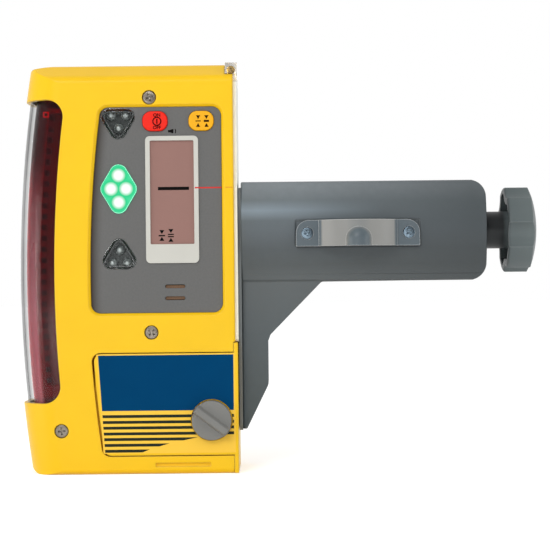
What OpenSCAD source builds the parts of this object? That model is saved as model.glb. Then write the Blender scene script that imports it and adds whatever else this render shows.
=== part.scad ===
// Laser receiver with a rod clamp on its right side.
// X runs to the right, Y to the back and Z up, from the middle of the receiver's base.
// Depths are measured back from the front face of the casing, heights up from its base.

/* [Casing] */
// Height of the receiver casing
case_h = 180.2; // [177:0.1:186]
// Depth of the receiver casing, front to back
case_d = 42; // [40:0.5:48]
// Right side wall, from the middle of the base
case_right = 46.2; // [45.5:0.1:50]
// Bowed left side at its fullest, from the middle of the base
case_left = 51.4; // [50:0.1:54]
// Radius of the bow of the left side, seen from the front
bow_r = 576; // [540:1:620]
// Height of the fullest point of the bow
bow_z = 87.3; // [84:0.1:94]
// Wall of the moulded shells
wall = 2.6; // [2.2:0.1:3]
// Radius that rolls the front and the back into the bowed side
side_r = 16; // [13:0.5:17]
// Radius of the other long edges of the casing
edge_r = 3; // [1:0.5:4]
// Radius of the edges beside the right wall
right_edge_r = 1; // [0.5:0.1:1.5]
// Radius of the lower left corner, seen from the front
low_corner_r = 6; // [3:0.5:7]
// Radius of the upper left corner, seen from the front
top_corner_r = 2.6; // [1.5:0.1:4]
// Radius on which the top edge falls towards the bowed side
top_fall_r = 50; // [40:1:80]
// Where the top edge starts to fall, left of the middle
top_fall_x = 29; // [24:1:32]
// Height of the sloped band along the top edge
band_h = 6.6; // [4:0.2:8]
// Depth of the sloped band
band_d = 10; // [7:0.5:13]
// Radius that softens both edges of the band
band_r = 5; // [2:0.5:6]
// Depth of the joint between the two shells
parting_d = 24; // [23:0.5:26]
// Thickness of the seal in that joint
gasket_t = 0.8; // [0.5:0.1:1.2]
// Radius of the screw bosses
boss_r = 4.2; // [3.8:0.1:4.6]

/* [Photocell window] */
// Width of the window, seen from the front
window_w = 18.8; // [17:0.1:20]
// Lower end of the window
window_z0 = 31.3; // [29:0.1:36]
// Upper end of the window, below the top of the casing
window_top = 15.7; // [14:0.1:20]
// Radius of the window's inner corners
window_corner_r = 7.5; // [4:0.5:9]
// How far the lens lies under the casing's surface
window_drop = 1.6; // [1:0.1:2]
// Thickness of the clear lens
window_t = 2.8; // [2.2:0.1:3.2]
// Lip of the lens behind the casing wall
window_lip = 2.5; // [1.5:0.1:3]
// Thickness of the red filter
filter_t = 1.1; // [0.8:0.1:1.5]
// Inset of the photocell board from the bowed side
cell_board_inset = 9.9; // [9.4:0.1:11]
// Pitch of the photocells
photocell_pitch = 4.9; // [4:0.1:7]
// Height of one photocell
photocell_h = 2.4; // [1.6:0.1:3]
// Width of one photocell
photocell_w = 2; // [1.4:0.1:2.6]

/* [Control panel] */
// Inset of the panel's left edge from the bowed side
panel_inset = 34.6; // [33:0.1:36]
// Margin between the panel and the right side wall
panel_margin = 5.3; // [4.6:0.1:6]
// Lower edge of the panel
panel_z0 = 70.7; // [69.5:0.1:72]
// Upper edge of the panel, below the top of the casing
panel_top = 19.4; // [18:0.1:19.8]
// Corner radius of the panel
panel_r = 4; // [2:0.5:5]
// How far the panel lies under the front face
panel_drop = 1.2; // [0.9:0.1:1.6]
// Thickness of the panel
panel_t = 1.6; // [1.4:0.1:2]
// Width of the ledge that carries the panel
ledge_w = 1.8; // [1.4:0.1:2.2]
// Thickness of the ledge
ledge_t = 2; // [1.5:0.1:2.5]
// Depth of the circuit board behind the panel
board_d = 12; // [11.4:0.1:13]
// Thickness of the circuit boards
board_t = 1.6; // [1:0.1:2]
// On-grade line, below the upper edge of the panel
grade_drop = 35.7; // [35.4:0.1:37]
// Middle of the signal lamps, from the middle of the base
lamp_x = -4.2; // [-4.8:0.1:-4]
// Distance from the middle lamp's centre to the flat side of the other two
lamp_reach = 35.2; // [35:0.1:35.4]
// Width of the three cornered lamps at their flat side, before rounding
lamp_w = 20.8; // [19:0.1:21.2]
// Height of the three cornered lamps, before rounding
lamp_h = 16.8; // [16:0.1:18]
// Width of the middle lamp, before rounding
diamond_w = 17; // [16:0.2:18]
// Height of the middle lamp, before rounding
diamond_h = 28.6; // [26:0.2:30]
// Corner radius of the lamps
lamp_r = 3.8; // [3:0.1:4.2]
// Radius of one light emitting diode
led_r = 2.4; // [1.5:0.1:2.5]
// Sideways spacing of the diodes
led_pitch = 6.6; // [6:0.1:7]
// Width of a key
key_w = 11; // [9:0.1:11.4]
// Height of a key
key_h = 8.7; // [7.5:0.1:8.9]
// Middle of the power key, from the middle of the base
power_x = 12; // [11.5:0.1:13]
// Middle of the deadband key, from the middle of the base
deadband_x = 32.2; // [31:0.1:32.6]
// Middle line of the keys, below the upper edge of the panel
key_drop = 6.2; // [6:0.1:6.6]
// Travel of a key
key_travel = 0.8; // [0.4:0.1:0.9]

/* [Display] */
// Left side of the display bezel
bezel_x0 = 7.6; // [7:0.1:8]
// Width of the display bezel
bezel_w = 23.2; // [22:0.1:24]
// Upper edge of the display bezel, below the upper edge of the panel
bezel_drop = 12.7; // [11.9:0.1:13.3]
// Height of the display bezel
bezel_h = 55.7; // [54:0.1:56.2]
// Side border of the display
view_side = 2; // [1.8:0.1:3]
// Border above the display
view_top = 2; // [1.8:0.1:3]
// Border below the display
view_foot = 8.3; // [6:0.1:10]
// How far the bezel stands above the panel
bezel_rise = 0.6; // [0.3:0.1:0.8]
// Thickness of the display glass
glass_t = 2.2; // [1.2:0.1:2.6]
// Radius of the beeper
beeper_r = 8.3; // [7:0.1:8.4]

/* [Battery bay] */
// Inset of the door's left edge from the bowed side
door_inset = 34.4; // [33:0.1:35.4]
// Lower edge of the door
door_z0 = 8.3; // [7.5:0.1:9]
// Upper edge of the door
door_z1 = 52.9; // [51:0.1:54]
// Corner radius of the door
door_r = 3.5; // [2.5:0.1:4.5]
// Thickness of the door
door_t = 2.4; // [2:0.1:3]
// Gap round the door
door_seam = 0.4; // [0.3:0.05:0.6]
// Wider gap along the door's left edge
door_left_seam = 1; // [0.5:0.1:1.4]
// Thickness of the side flange of the door
flange_t = 1.8; // [1.4:0.1:2]
// How far the flange stands out of the side wall
flange_rise = 1.1; // [0.9:0.1:1.2]
// Depth of the side flange
flange_d = 36; // [30:0.5:37]
// Top of the side flange
flange_z1 = 57.3; // [56.5:0.1:58]
// Seal between the door and the casing
seal_t = 0.6; // [0.4:0.1:1]
// Wall of the battery bay
bay_wall = 2; // [1.6:0.1:2.2]
// Radius of one cell
cell_r = 7.25; // [7:0.05:7.3]
// Length of one cell
cell_l = 50.5; // [49.5:0.1:50.6]
// Radius of the thumbscrew head
thumb_r = 8.6; // [7:0.1:9]
// How far the thumbscrew stands out of the front
thumb_rise = 7; // [5:0.2:9]
// Thumbscrew axis, from the right side wall
thumb_inset = 10.6; // [9.6:0.1:11.4]
// Height of the thumbscrew axis
thumb_z = 23.6; // [23:0.1:26]
// Radius of the thumbscrew shank
thumb_shank_r = 2.5; // [2:0.1:3]

/* [Side plate] */
// Thickness of the plated side plate
plate_t = 1.4; // [1.2:0.1:1.8]
// Radius of one magnet
magnet_r = 7; // [6:0.1:7]
// Length of one magnet
magnet_l = 5; // [4:0.1:5.2]
// Width of the clear corner block
corner_w = 5.4; // [5:0.1:6]
// Height of the clear corner block
corner_h = 6; // [5:0.1:7]

/* [Rod clamp] */
// Gap between the receiver's side plate and the clamp
clamp_gap = 0.1; // [0.05:0.05:0.3]
// Thickness of the clamp's mounting plate
mount_t = 1.4; // [1.2:0.1:2]
// Lower end of the mounting plate
mount_z0 = 18.2; // [17:0.1:21]
// Length of the clamp beam
beam_l = 108.3; // [104:0.1:112]
// Height of the clamp beam
beam_h = 44.4; // [42:0.1:46]
// Height of the beam's middle line, where the lead screw runs
beam_z = 105.9; // [105:0.1:107]
// Front of the beam's crown
beam_front = 4; // [3:0.1:5]
// Depth of the beam
beam_d = 28; // [27.5:0.1:32]
// Radius of the crowned front
crown_r = 49; // [44:1:60]
// Wall of the beam
beam_wall = 4; // [3.4:0.1:4.2]
// End wall of the beam
beam_end = 5.6; // [5:0.1:7]
// Corner radius at the beam's free end
beam_corner_r = 7.5; // [4:0.5:9]
// Slot for the sliding jaw at the back of the beam
slot_h = 23; // [21:0.5:25]
// Depth of the lead screw's axis behind the crown
screw_back = 16; // [15.5:0.1:16.5]
// Radius of the lead screw
screw_r = 4.5; // [4:0.1:5]
// Opening between the jaw pads, as shown
jaw_gap = 49.4; // [40:0.2:52]
// Thickness of the jaws
jaw_t = 10; // [8:0.1:12]
// How far the jaws reach behind the beam
jaw_reach = 26; // [20:0.5:32]
// Height of the jaws
jaw_h = 36; // [30:0.5:40]
// Thickness of the rubber pads
pad_t = 2.5; // [1.5:0.1:4]
// Length of the jaw's carriage in the beam
carriage_l = 24; // [22:0.5:26]
// Play of the carriage in the beam
carriage_play = 0.25; // [0.15:0.05:0.4]
// Width of the leg where it is straight
leg_w = 11.5; // [10:0.1:13]
// Wall of the leg
leg_wall = 3; // [2:0.1:3.5]
// Front of the leg
leg_front = 10; // [9:0.1:11]

/* [Hand knob] */
// Radius of the knob over its lobes
knob_r = 19; // [17:0.1:20]
// Thickness of the knob's rim
knob_rim = 10.6; // [8:0.1:12]
// Height of the dome on the knob's face
knob_dome = 3.6; // [1.5:0.1:4]
// Lobes round the knob
knob_lobes = 5; // [5:1:6]
// Radius of a hollow between two lobes
knob_hollow_r = 8; // [6:0.1:9]
// Depth of a hollow between two lobes
knob_hollow = 3; // [2:0.1:3.6]
// Wall of the knob's rim
knob_wall = 2.6; // [2:0.1:3]
// Radius of the hub
hub_r = 8.3; // [7:0.1:8.6]
// Length of the hub in front of the rim
hub_l = 8.7; // [6:0.1:10]

/* [Vial holder] */
// Width of the holder's plate
holder_w = 54.4; // [52:0.2:58]
// Height of the holder
holder_h = 11.5; // [11:0.1:13]
// Middle of the holder, from the left end of the beam
holder_x = 51.4; // [48:0.2:54]
// Height of the holder's middle over the beam's middle line
holder_rise = -1; // [-2:0.1:0]
// Thickness of the holder's plate
holder_t = 2.7; // [2.2:0.1:3.2]
// Spacing of the holder's two screws
holder_pitch = 44.7; // [43:0.1:46]
// Width of the holder's raised body
vial_body_w = 34.3; // [32:0.1:36]
// How far the raised body stands out of the plate
vial_body_rise = 7.5; // [6.8:0.1:9]
// Radius of the round bump on the body
bump_r = 6.2; // [5.5:0.1:7]
// How far the bump stands out of the body
bump_rise = 3.5; // [2:0.1:4]
// Radius of the plumb vial
vial_r = 4; // [3.5:0.1:4.2]

/* [Hidden] */
$fn = 64;
bow_fn = 720;
hull_fn = 32;
// fits
snug = 0.1;
running = 0.05;
over = 1;
far = 300;
// two forms that are cut against each other cross at a small angle and never just touch
cross = 0.15;
// a corner arc that runs into a wide arc crosses it by this much
touch = 0.03;
// heights that follow the top of the casing
window_z1 = case_h - window_top;
panel_z1 = case_h - panel_top;
grade_z = panel_z1 - grade_drop;
key_z = panel_z1 - key_drop;
bezel_z0 = panel_z1 - bezel_drop - bezel_h;
// the bow
bow_x = bow_r - case_left;
bow_c = [bow_x, bow_z];
bow_reach = case_left + case_right + 8;
bow_span = asin(max(bow_z, case_h - bow_z) / (bow_r - bow_reach)) + 1;
fall_c = [-top_fall_x, case_h - top_fall_r + cross];
// the sloped band's outward normal, in depth and height
band_n = [-band_h, band_d] / norm([band_h, band_d]);
// casing screws
front_joint = parting_d - gasket_t / 2;
back_joint = parting_d + gasket_t / 2;
screw_head_r = 3;
screw_head_t = 1.6;
screw_head_d = 0.4;
screw_seat_d = screw_head_d + screw_head_t;
screw_shank_r = 1.5;
screw_tip_d = case_d - wall - 3.4;
boss_clear = 2.6;
upper_screw_z = panel_z1 + boss_r;
lower_screw_z = panel_z0 - ledge_w - boss_r - boss_clear;
screw_x = 9.6;
corner_screw_x = -30.2;
corner_screw_z = 19.3;
screw_spots = [[screw_x, upper_screw_z], [screw_x, lower_screw_z], [corner_screw_x, corner_screw_z]];
gasket_in = 0.4;
// shallow field on the back
field_sink = 0.8;
field_side = 8;
field_foot = 14;
field_top = 16;
field_r = 6;
// window stack, each as a depth under the casing's surface
lens_in = window_drop + window_t;
lip_out = wall + running;
filter_out = lens_in + snug;
filter_in = filter_out + filter_t;
filter_side = 1.5;
cell_board_d = (case_d - board_t) / 2;
cell_board_foot = 6.8;
cell_board_head = 4.1;
cell_board_z0 = window_z0 + cell_board_foot;
cell_board_z1 = window_z1 - cell_board_head;
cell_margin = 2.2;
cell_count = floor((cell_board_z1 - cell_board_z0 - 2 * cell_margin) / photocell_pitch) + 1;
cell_d = 2.6;
cell_edge = 0.6;
cell_post_r = 2.2;
cell_post_inset = window_w + window_lip + cell_post_r + 3 * snug;
cell_board_far = cell_post_inset + cell_post_r + snug;
cell_mid_z = (cell_board_z0 + cell_board_z1) / 2;
cell_post_in = 5;
cell_posts = [cell_board_z0 + cell_post_in, cell_mid_z, cell_board_z1 - cell_post_in];
// control panel stack
panel_right = case_right - panel_margin;
panel_back = panel_drop + panel_t;
panel_bevel = panel_drop;
post_r = 2;
post_in = 2.4;
board_edge = 1.2;
board_foot = 1;
board_head = 1.4;
board_z0 = panel_z0 + board_foot;
board_z1 = panel_z1 - board_head;
post_foot = 3.3;
right_post_drop = 12.5;
left_post_drop = 19.3;
board_posts = [[panel_right - post_in, panel_z0 + post_foot],
    [panel_right - post_in, panel_z1 - right_post_drop],
    [left_at(panel_inset, panel_z0 + post_foot) + post_in, panel_z0 + post_foot],
    [left_at(panel_inset, panel_z1 - left_post_drop) + post_in, panel_z1 - left_post_drop]];
// lamps
upper_lamp = triangle(grade_z + lamp_reach, -1);
lower_lamp = triangle(grade_z - lamp_reach, 1);
centre_lamp = [[lamp_x - diamond_w / 2, grade_z], [lamp_x, grade_z - diamond_h / 2],
    [lamp_x + diamond_w / 2, grade_z], [lamp_x, grade_z + diamond_h / 2]];
lamp_rise = 0.7;
lamp_front = panel_drop - lamp_rise;
lamp_skin = 1.2;
lamp_lip = 0.8;
lamp_lip_t = 0.9;
led_gap = 0.4;
led_tip = panel_back + led_gap;
led_row = 2.6;
led_drop = 5.9;
// keys
key_r = 3.9;
key_rise = 1;
key_front = panel_drop - key_rise;
key_play = 0.15;
key_lip = 0.6;
key_lip_t = 0.8;
key_stem_r = 2;
switch_w = 6;
switch_t = 2.6;
switch_d = board_d - switch_t;
key_gap = key_travel + 2 * snug;
keys = [[power_x, key_z], [deadband_x, key_z]];
// display
bezel_r = 2;
bezel_front = panel_drop - bezel_rise;
bezel_skirt = 0.8;
bezel_depth = 1.6;
bezel_back = panel_back + bezel_depth;
glass_sink = 0.25;
glass_d = panel_drop + glass_sink;
glass_lap = 0.4;
bezel_pts = rect(bezel_x0, bezel_x0 + bezel_w, bezel_z0, bezel_z0 + bezel_h);
view_pts = rect(bezel_x0 + view_side, bezel_x0 + bezel_w - view_side,
    bezel_z0 + view_foot, bezel_z0 + bezel_h - view_top);
beeper_x = 20.1;
beeper_clear = 0.6;
beeper_z = panel_z0 + beeper_r + beeper_clear;
beeper_t = 6.6;
slot_w = 8.8;
slot_gap = 5.2;
slot_r = 0.8;
// battery bay
rim_d = door_t + seal_t;
rim_w = 2;
rim_back = rim_d + 2;
door_right = case_right + flange_rise;
flange_in = door_right - flange_t;
recess_x = flange_in - snug;
bay_out = case_right - wall - snug;
bay_right = bay_out - bay_wall;
contact_l = 2.4;
contact_t = 0.5;
leaf_w = 8;
leaf_l = 12;
cell_x1 = bay_right - contact_l;
cell_x0 = cell_x1 - cell_l;
bay_left = cell_x0 - contact_l;
bay_mid_z = (door_z0 + door_z1) / 2;
cell_play = 0.25;
cell_z = [bay_mid_z - cell_r - cell_play, bay_mid_z + cell_r + cell_play];
lug_gap = 0.6;
lug_t = 5.4;
lug_d0 = rim_d + lug_gap;
lug_d1 = lug_d0 + lug_t;
lug_w = 6.5;
lug_h = 14;
seal_in = 0.3;
lug_clear = 0.9;
cell_axis_d = lug_d1 + lug_clear + cell_r;
bay_floor = cell_axis_d + cell_r + 2 * snug;
nub_l = 1.3;
nub_r = 2.75;
thumb_x = case_right - thumb_inset;
thumb_sink = 0.9;
thumb_room = 0.8;
thumb_bar_w = 4.6;
thumb_bar_top = 2.8;
thumb_bar_rise = thumb_rise * 0.48;
thumb_bar_turn = 37;
clip_t = 0.8;
clip_w = 1.7;
groove_x0 = 11;
groove_x1 = 35;
groove_w = 1.6;
groove_z = door_z0 / 2;
// side plate
plate_x1 = case_right + plate_t;
plate_z0 = flange_z1 + door_seam;
plate_gap = 1.7;
plate_z1 = case_h - corner_h - plate_gap;
plate_edge = 3;
magnet_in = 3.5;
magnet_foot = 14;
magnet_pitch = 44;
magnet_d = plate_edge + magnet_r + magnet_in;
magnet_zs = [for (k = [0:2]) plate_z0 + magnet_foot + k * magnet_pitch];
corner_proud = 0.5;
corner_x0 = plate_x1 + corner_proud - corner_w;
corner_d0 = 2.5;
corner_d1 = case_d - corner_d0;
corner_wall = 2;
plate_r = 1.5;
tube_r = 1.8;
// clamp
mount_x0 = plate_x1 + clamp_gap;
beam_x0 = mount_x0 + mount_t;
beam_x1 = beam_x0 + beam_l;
beam_back = beam_front + beam_d;
beam_front_r = 2.5;
beam_back_r = 1.5;
beam_z0 = beam_z - beam_h / 2;
beam_z1 = beam_z + beam_h / 2;
crown_c = [beam_front + crown_r, beam_z];
bore_x0 = beam_x0 + beam_end;
bore_x1 = beam_x1 - beam_end;
screw_d = beam_front + screw_back;
mount_head = 2.6;
mount_z1 = beam_z1 - mount_head;
mount_d0 = 6;
mount_d1 = 36;
leg_back = beam_back + 1;
leg_x1 = beam_x0 + leg_w;
leg_foot_w = 1.8;
leg_foot_z = 0.4;
leg_knee_z = 20;
leg_bend_z = 39.2;
leg_bend_w = 1.1;
leg_bend_h = 2.9;
leg_top_w = 36;
leg_sink = 0.4;
leg_foot = [beam_x0 + leg_foot_w, mount_z0 + leg_foot_z];
leg_knee = [leg_x1, mount_z0 + leg_knee_z];
leg_upper = [[leg_x1, mount_z0 + leg_bend_z], [leg_x1 + leg_bend_w, mount_z0 + leg_bend_z + leg_bend_h],
    [beam_x0 + leg_top_w, beam_z0 + leg_sink], [beam_x0, beam_z0 + leg_sink]];
leg_pts = concat([[beam_x0, leg_foot[1]], leg_foot, leg_knee], leg_upper);
leg_radii = [0.5, 0.8, 4, 0, 0, 0, 0];
rib_pitch = 20;
core_foot = leg_foot + (leg_knee - leg_foot) * 0.5;
core_pts = concat([[beam_x0, core_foot[1]], core_foot, leg_knee], leg_upper);
mount_screw_r = 1.5;
mount_screw_l = 7;
mount_screw_head = 2.8;
mount_cone = mount_t - snug;
hole_spare = 0.5;
mount_r = 3;
mount_screw_in = 8;
mount_screw_foot = 11;
mount_screw_drop = 9;
mount_screw_spots = [for (d = [mount_d0 + mount_screw_in, mount_d1 - mount_screw_in],
    z = [mount_z0 + mount_screw_foot, mount_z1 - mount_screw_drop]) [d, z]];
pad_x0 = beam_x0 + jaw_t;
pad_x1 = pad_x0 + pad_t;
jaw_x0 = pad_x1 + jaw_gap;
jaw_x1 = jaw_x0 + pad_t;
jaw_x2 = jaw_x1 + jaw_t;
jaw_end_d = beam_back + jaw_reach;
jaw_edge = 3.5;
pad_in = 2;
lip_d = beam_back - beam_wall;
carriage_x0 = jaw_x1 + jaw_t / 2 - carriage_l / 2;
carriage_front = 7.5;
carriage_d0 = screw_d - carriage_front;
carriage_r = 1.5;
screw_room = 0.6;
carriage_h = beam_h - 2 * beam_wall - 2 * carriage_play;
neck_h = slot_h - 4 * carriage_play;
nut_r = 6.6;
nut_l = 10;
journal_step = 0.5;
pivot_step = 1.5;
journal_r = screw_r - journal_step;
pivot_r = screw_r - pivot_step;
pivot_l = 4;
pivot_gap = 0.2;
thread_gap = 0.5;
bush_wall = 2.2;
bush_lip = 1.6;
bush_r = journal_r + bush_wall;
bush_flange_r = bush_r + bush_lip;
bush_flange_t = 1.2;
shoulder_x = bore_x1 - bush_flange_t - snug;
washer_t = 0.6;
washer_in = 0.6;
hub_x0 = beam_x1 + washer_t + snug;
rim_x0 = hub_x0 + hub_l;
rim_x1 = rim_x0 + knob_rim;
rim_edge = 2.4;
knob_web = 3;
dome_r = (knob_r * knob_r + knob_dome * knob_dome) / (2 * knob_dome);
hollow_turn = -8;
hollow_at = knob_r - knob_hollow + knob_hollow_r;
screw_grip = 4;
screw_end_x = rim_x0 + screw_grip;
// vial holder
holder_c = [beam_x0 + holder_x, beam_z + holder_rise];
holder_z0 = holder_c[1] - holder_h / 2;
holder_z1 = holder_c[1] + holder_h / 2;
seat_half = max(holder_z1 - beam_z, beam_z - holder_z0) + snug;
seat_d = crown_c[0] - sqrt(crown_r * crown_r - seat_half * seat_half) + cross;
holder_front = seat_d - holder_t;
vial_front = holder_front - vial_body_rise;
vial_arc_r = (vial_body_w * vial_body_w / 4 + vial_body_rise * vial_body_rise) / (2 * vial_body_rise);
vial_skin = 1.3;
vial_d = vial_front + vial_skin + vial_r;
vial_depth = 8;
body_swell = 0.6;
bump_drop = 2.3;
holder_screw_r = 1.4;
holder_head_r = 2.6;
holder_head_t = 1.5;
holder_head_sink = 0.9;
holder_head_d = holder_front + holder_head_sink;
holder_tip = 0.8;
holder_tip_d = beam_front + beam_wall + holder_tip;

function unit(v) = v / norm(v);
function rect(x0, x1, z0, z1) = [[x0, z0], [x1, z0], [x1, z1], [x0, z1]];
// left edge, at a height, of an arc that runs parallel to the bow
function left_at(inset, z) = bow_x - sqrt(pow(bow_r - inset, 2) - pow(z - bow_z, 2));
// three cornered lamp with its flat side at height z and its point in direction s
function triangle(z, s) = s > 0
    ? [[lamp_x - lamp_w / 2, z], [lamp_x + lamp_w / 2, z], [lamp_x, z + lamp_h]]
    : [[lamp_x + lamp_w / 2, z], [lamp_x - lamp_w / 2, z], [lamp_x, z - lamp_h]];
// a counterclockwise outline with its sides moved in by w
function inset(pts, w) = let (n = len(pts)) [for (i = [0:n - 1])
    let (a = unit(pts[i] - pts[(i + n - 1) % n]), b = unit(pts[(i + 1) % n] - pts[i]),
        na = [-a[1], a[0]], nb = [-b[1], b[0]]) pts[i] + w * (na + nb) / (1 + na * nb)];
// upper crossing of two circles, seen from the first towards the second
function circles_meet(c1, r1, c2, r2) =
    let (d = c2 - c1, l = norm(d), a = (l * l + r1 * r1 - r2 * r2) / (2 * l), u = d / l)
    c1 + a * u + sqrt(r1 * r1 - a * a) * [-u[1], u[0]];

// Frames and simple bodies

module placed() translate([0, -case_d / 2, 0]) children();
// an outline in X and height, from depth d0 to depth d1
module front_slab(d0, d1) translate([0, d1, 0]) rotate([90, 0, 0]) linear_extrude(d1 - d0) children();
// an outline in depth and height, from x0 to x1
module side_slab(x0, x1) translate([x0, 0, 0]) rotate([90, 0, 90]) linear_extrude(x1 - x0) children();
// an outline in X and depth, from z0 to z1
module plan_slab(z0, z1) translate([0, 0, z0]) linear_extrude(z1 - z0) children();
module rod_y(x, z, d0, d1, r) translate([x, d0, z]) rotate([-90, 0, 0]) cylinder(r = r, h = d1 - d0);
module rod_x(d, z, x0, x1, r) translate([x0, d, z]) rotate([0, 90, 0]) cylinder(r = r, h = x1 - x0);
module box(x0, x1, d0, d1, z0, z1) translate([x0, d0, z0]) cube([x1 - x0, d1 - d0, z1 - z0]);

// Outlines with true arcs

// what a round corner takes away, or a fillet adds, between two points of touch
module corner_piece(t1, q, t2, c, r) difference() {
    polygon([t1, q, t2]);
    translate(c) circle(r);
}
module corner(pts, i, r) {
    n = len(pts);
    a = unit(pts[(i + n - 1) % n] - pts[i]);
    b = unit(pts[(i + 1) % n] - pts[i]);
    half = acos(a * b) / 2;
    mid = unit(a + b);
    corner_piece(pts[i] + a * r / tan(half), pts[i] - mid * r / 2, pts[i] + b * r / tan(half),
        pts[i] + mid * r / sin(half), r);
}
// a straight sided outline with round corners, and with fillets where the radius is negative
module outline(pts, radii) difference() {
    union() {
        polygon(pts);
        for (i = [0:len(pts) - 1]) if (radii[i] < 0) corner(pts, i, -radii[i]);
    }
    for (i = [0:len(pts) - 1]) if (radii[i] > 0) corner(pts, i, radii[i]);
}
// the same with one radius, grown by g
module rounded(pts, r, g = 0) outline(inset(pts, -g), [for (p = pts) max(r + g, 0.2)]);
// an outline with an arc about c on its left and a straight right side
module arc_panel(c, r, x1, y0, y1, left_r, right_r) difference() {
    intersection() {
        translate([c[0] - r - over, y0]) square([x1 - c[0] + r + over, y1 - y0]);
        translate(c) circle(r, $fn = bow_fn);
    }
    for (y = [y0, y1]) {
        s = y == y0 ? 1 : -1;
        if (left_r > 0) {
            rim = r + touch;
            m = [c[0] - sqrt(pow(rim - left_r, 2) - pow(y + s * left_r - c[1], 2)), y + s * left_r];
            t = c + (m - c) * rim / (rim - left_r);
            corner_piece(t, [t[0] - left_r, y - s * left_r], [m[0], y], m, left_r);
        }
        if (right_r > 0) {
            m = [x1 - right_r, y + s * right_r];
            corner_piece([x1, m[1]], [x1 + right_r / 2, y - s * right_r / 2], [m[0], y], m, right_r);
        }
    }
}
// an outline on the front of the casing, parallel to the bow on its left
module bow_panel(left_inset, x1, z0, z1, left_r, right_r)
    arc_panel(bow_c, bow_r - left_inset, x1, z0, z1, left_r, right_r);

// Casing

// section of the bowed side, in distance from the bow's centre and depth
module bow_section(o) {
    r = side_r - o;
    outline(rect(bow_r - bow_reach, bow_r - o, o, case_d - o), [0, r, r, 0]);
}
module bow_sweep(o) translate([bow_x, 0, bow_z]) rotate([-90, 0, 0]) rotate([0, 0, 180 - bow_span])
    rotate_extrude(angle = 2 * bow_span, $fn = bow_fn) bow_section(o);
// section of the casing from the side, in depth and height
module side_section(o) {
    lift = band_n * [0, case_h - band_h] - o;
    edge = max(edge_r - o, 0);
    front = o - cross;
    back = case_d - o + cross;
    outline([[front, o], [back, o], [back, case_h - o],
        [(band_n[1] * (case_h - o) - lift) / -band_n[0], case_h - o],
        [front, (lift - band_n[0] * front) / band_n[1]]],
        [edge, edge, edge, max(band_r - o, 0), max(band_r - o, 0)]);
}
// corners of the casing from the front
module front_section(o) difference() {
    translate([-case_left - over, -over]) square([case_left + case_right + 2 * over, case_h + 2 * over]);
    difference() {
        translate([-case_left - 2 * over, case_h - top_fall_r / 2])
            square([case_left + 2 * over - top_fall_x, top_fall_r]);
        translate(fall_c) circle(top_fall_r - o, $fn = bow_fn);
    }
    bow = bow_r - o + cross;
    if (top_corner_r - o > 0.3) {
        r = top_corner_r - o;
        fall = top_fall_r - o + touch;
        m = circles_meet(fall_c, fall - r, bow_c, bow - r);
        t1 = bow_c + (m - bow_c) * bow / (bow - r);
        t2 = fall_c + (m - fall_c) * fall / (fall - r);
        corner_piece(t2, m + 2 * (t1 + t2 - 2 * m), t1, m, r);
    }
    if (low_corner_r - o > 0.3) {
        r = low_corner_r - o;
        base = o - cross;
        m = [bow_x - sqrt(pow(bow - r, 2) - pow(bow_z - base - r, 2)), base + r];
        t = bow_c + (m - bow_c) * bow / (bow - r);
        corner_piece(t, [t[0] - r, base - r], [m[0], base], m, r);
    }
}
module plan_section(o) {
    r = max(right_edge_r - o, 0);
    front = o - cross / 2;
    back = case_d - o + cross / 2;
    outline([[-case_left - over, front], [case_right - o, front], [case_right - o, back],
        [-case_left - over, back]], [0, r, r, 0]);
}
// the casing's outer form, with its surface moved in by o
module casing_form(o) intersection() {
    bow_sweep(o);
    side_slab(-case_left - over, case_right + over) side_section(o);
    front_slab(-over, case_d + over) front_section(o);
    plan_slab(-over, case_h + over) plan_section(o);
}
module depth_range(d0, d1) box(-far, far, d0, d1, -far, far);

module window_outline(g) {
    r = window_corner_r + g;
    rho = bow_r - window_w - g;
    difference() {
        translate([-case_left - over, window_z0 - g])
            square([case_left + over, window_z1 - window_z0 + 2 * g]);
        translate(bow_c) circle(rho, $fn = bow_fn);
        for (s = [-1, 1]) {
            y = s < 0 ? window_z0 - g : window_z1 + g;
            rim = rho - touch;
            m = [bow_x - sqrt(pow(rim + r, 2) - pow(y - s * r - bow_z, 2)), y - s * r];
            t = bow_c + (m - bow_c) * rim / (rim + r);
            corner_piece(t, [t[0] + r, y + s * r], [m[0], y], m, r);
        }
    }
}
module panel_outline(g) bow_panel(panel_inset - g, panel_right + g, panel_z0 - g, panel_z1 + g,
    panel_r + g, panel_r + g);
module door_outline(g, left = 0) bow_panel(door_inset - g - left, door_right + g, door_z0 - g, door_z1 + g,
    door_r + g, 0);
module key_outline(spot, g) rounded(rect(spot[0] - key_w / 2, spot[0] + key_w / 2,
    spot[1] - key_h / 2, spot[1] + key_h / 2), key_r, g);

// room in the ledge for the lips of the lamps and keys
module lip_room() {
    for (pts = [upper_lamp, centre_lamp, lower_lamp]) rounded(pts, lamp_r, lamp_lip + 2 * snug);
    for (spot = keys) key_outline(spot, key_lip + 2 * snug);
}
module corner_room(g) box(corner_x0 - g, case_right + 2 * over, corner_d0 - g, corner_d1 + g,
    case_h - corner_h - g, case_h + over);
module corner_seat() box(corner_x0 - corner_wall, case_right, 0, case_d,
    case_h - corner_h - corner_wall, case_h);
module shell(d0, d1) intersection() {
    difference() {
        casing_form(0);
        casing_form(wall);
    }
    depth_range(d0, d1);
}
module flange_room() box(recess_x, case_right + over, -over, flange_d + door_seam,
    -over, flange_z1 + door_seam);

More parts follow.
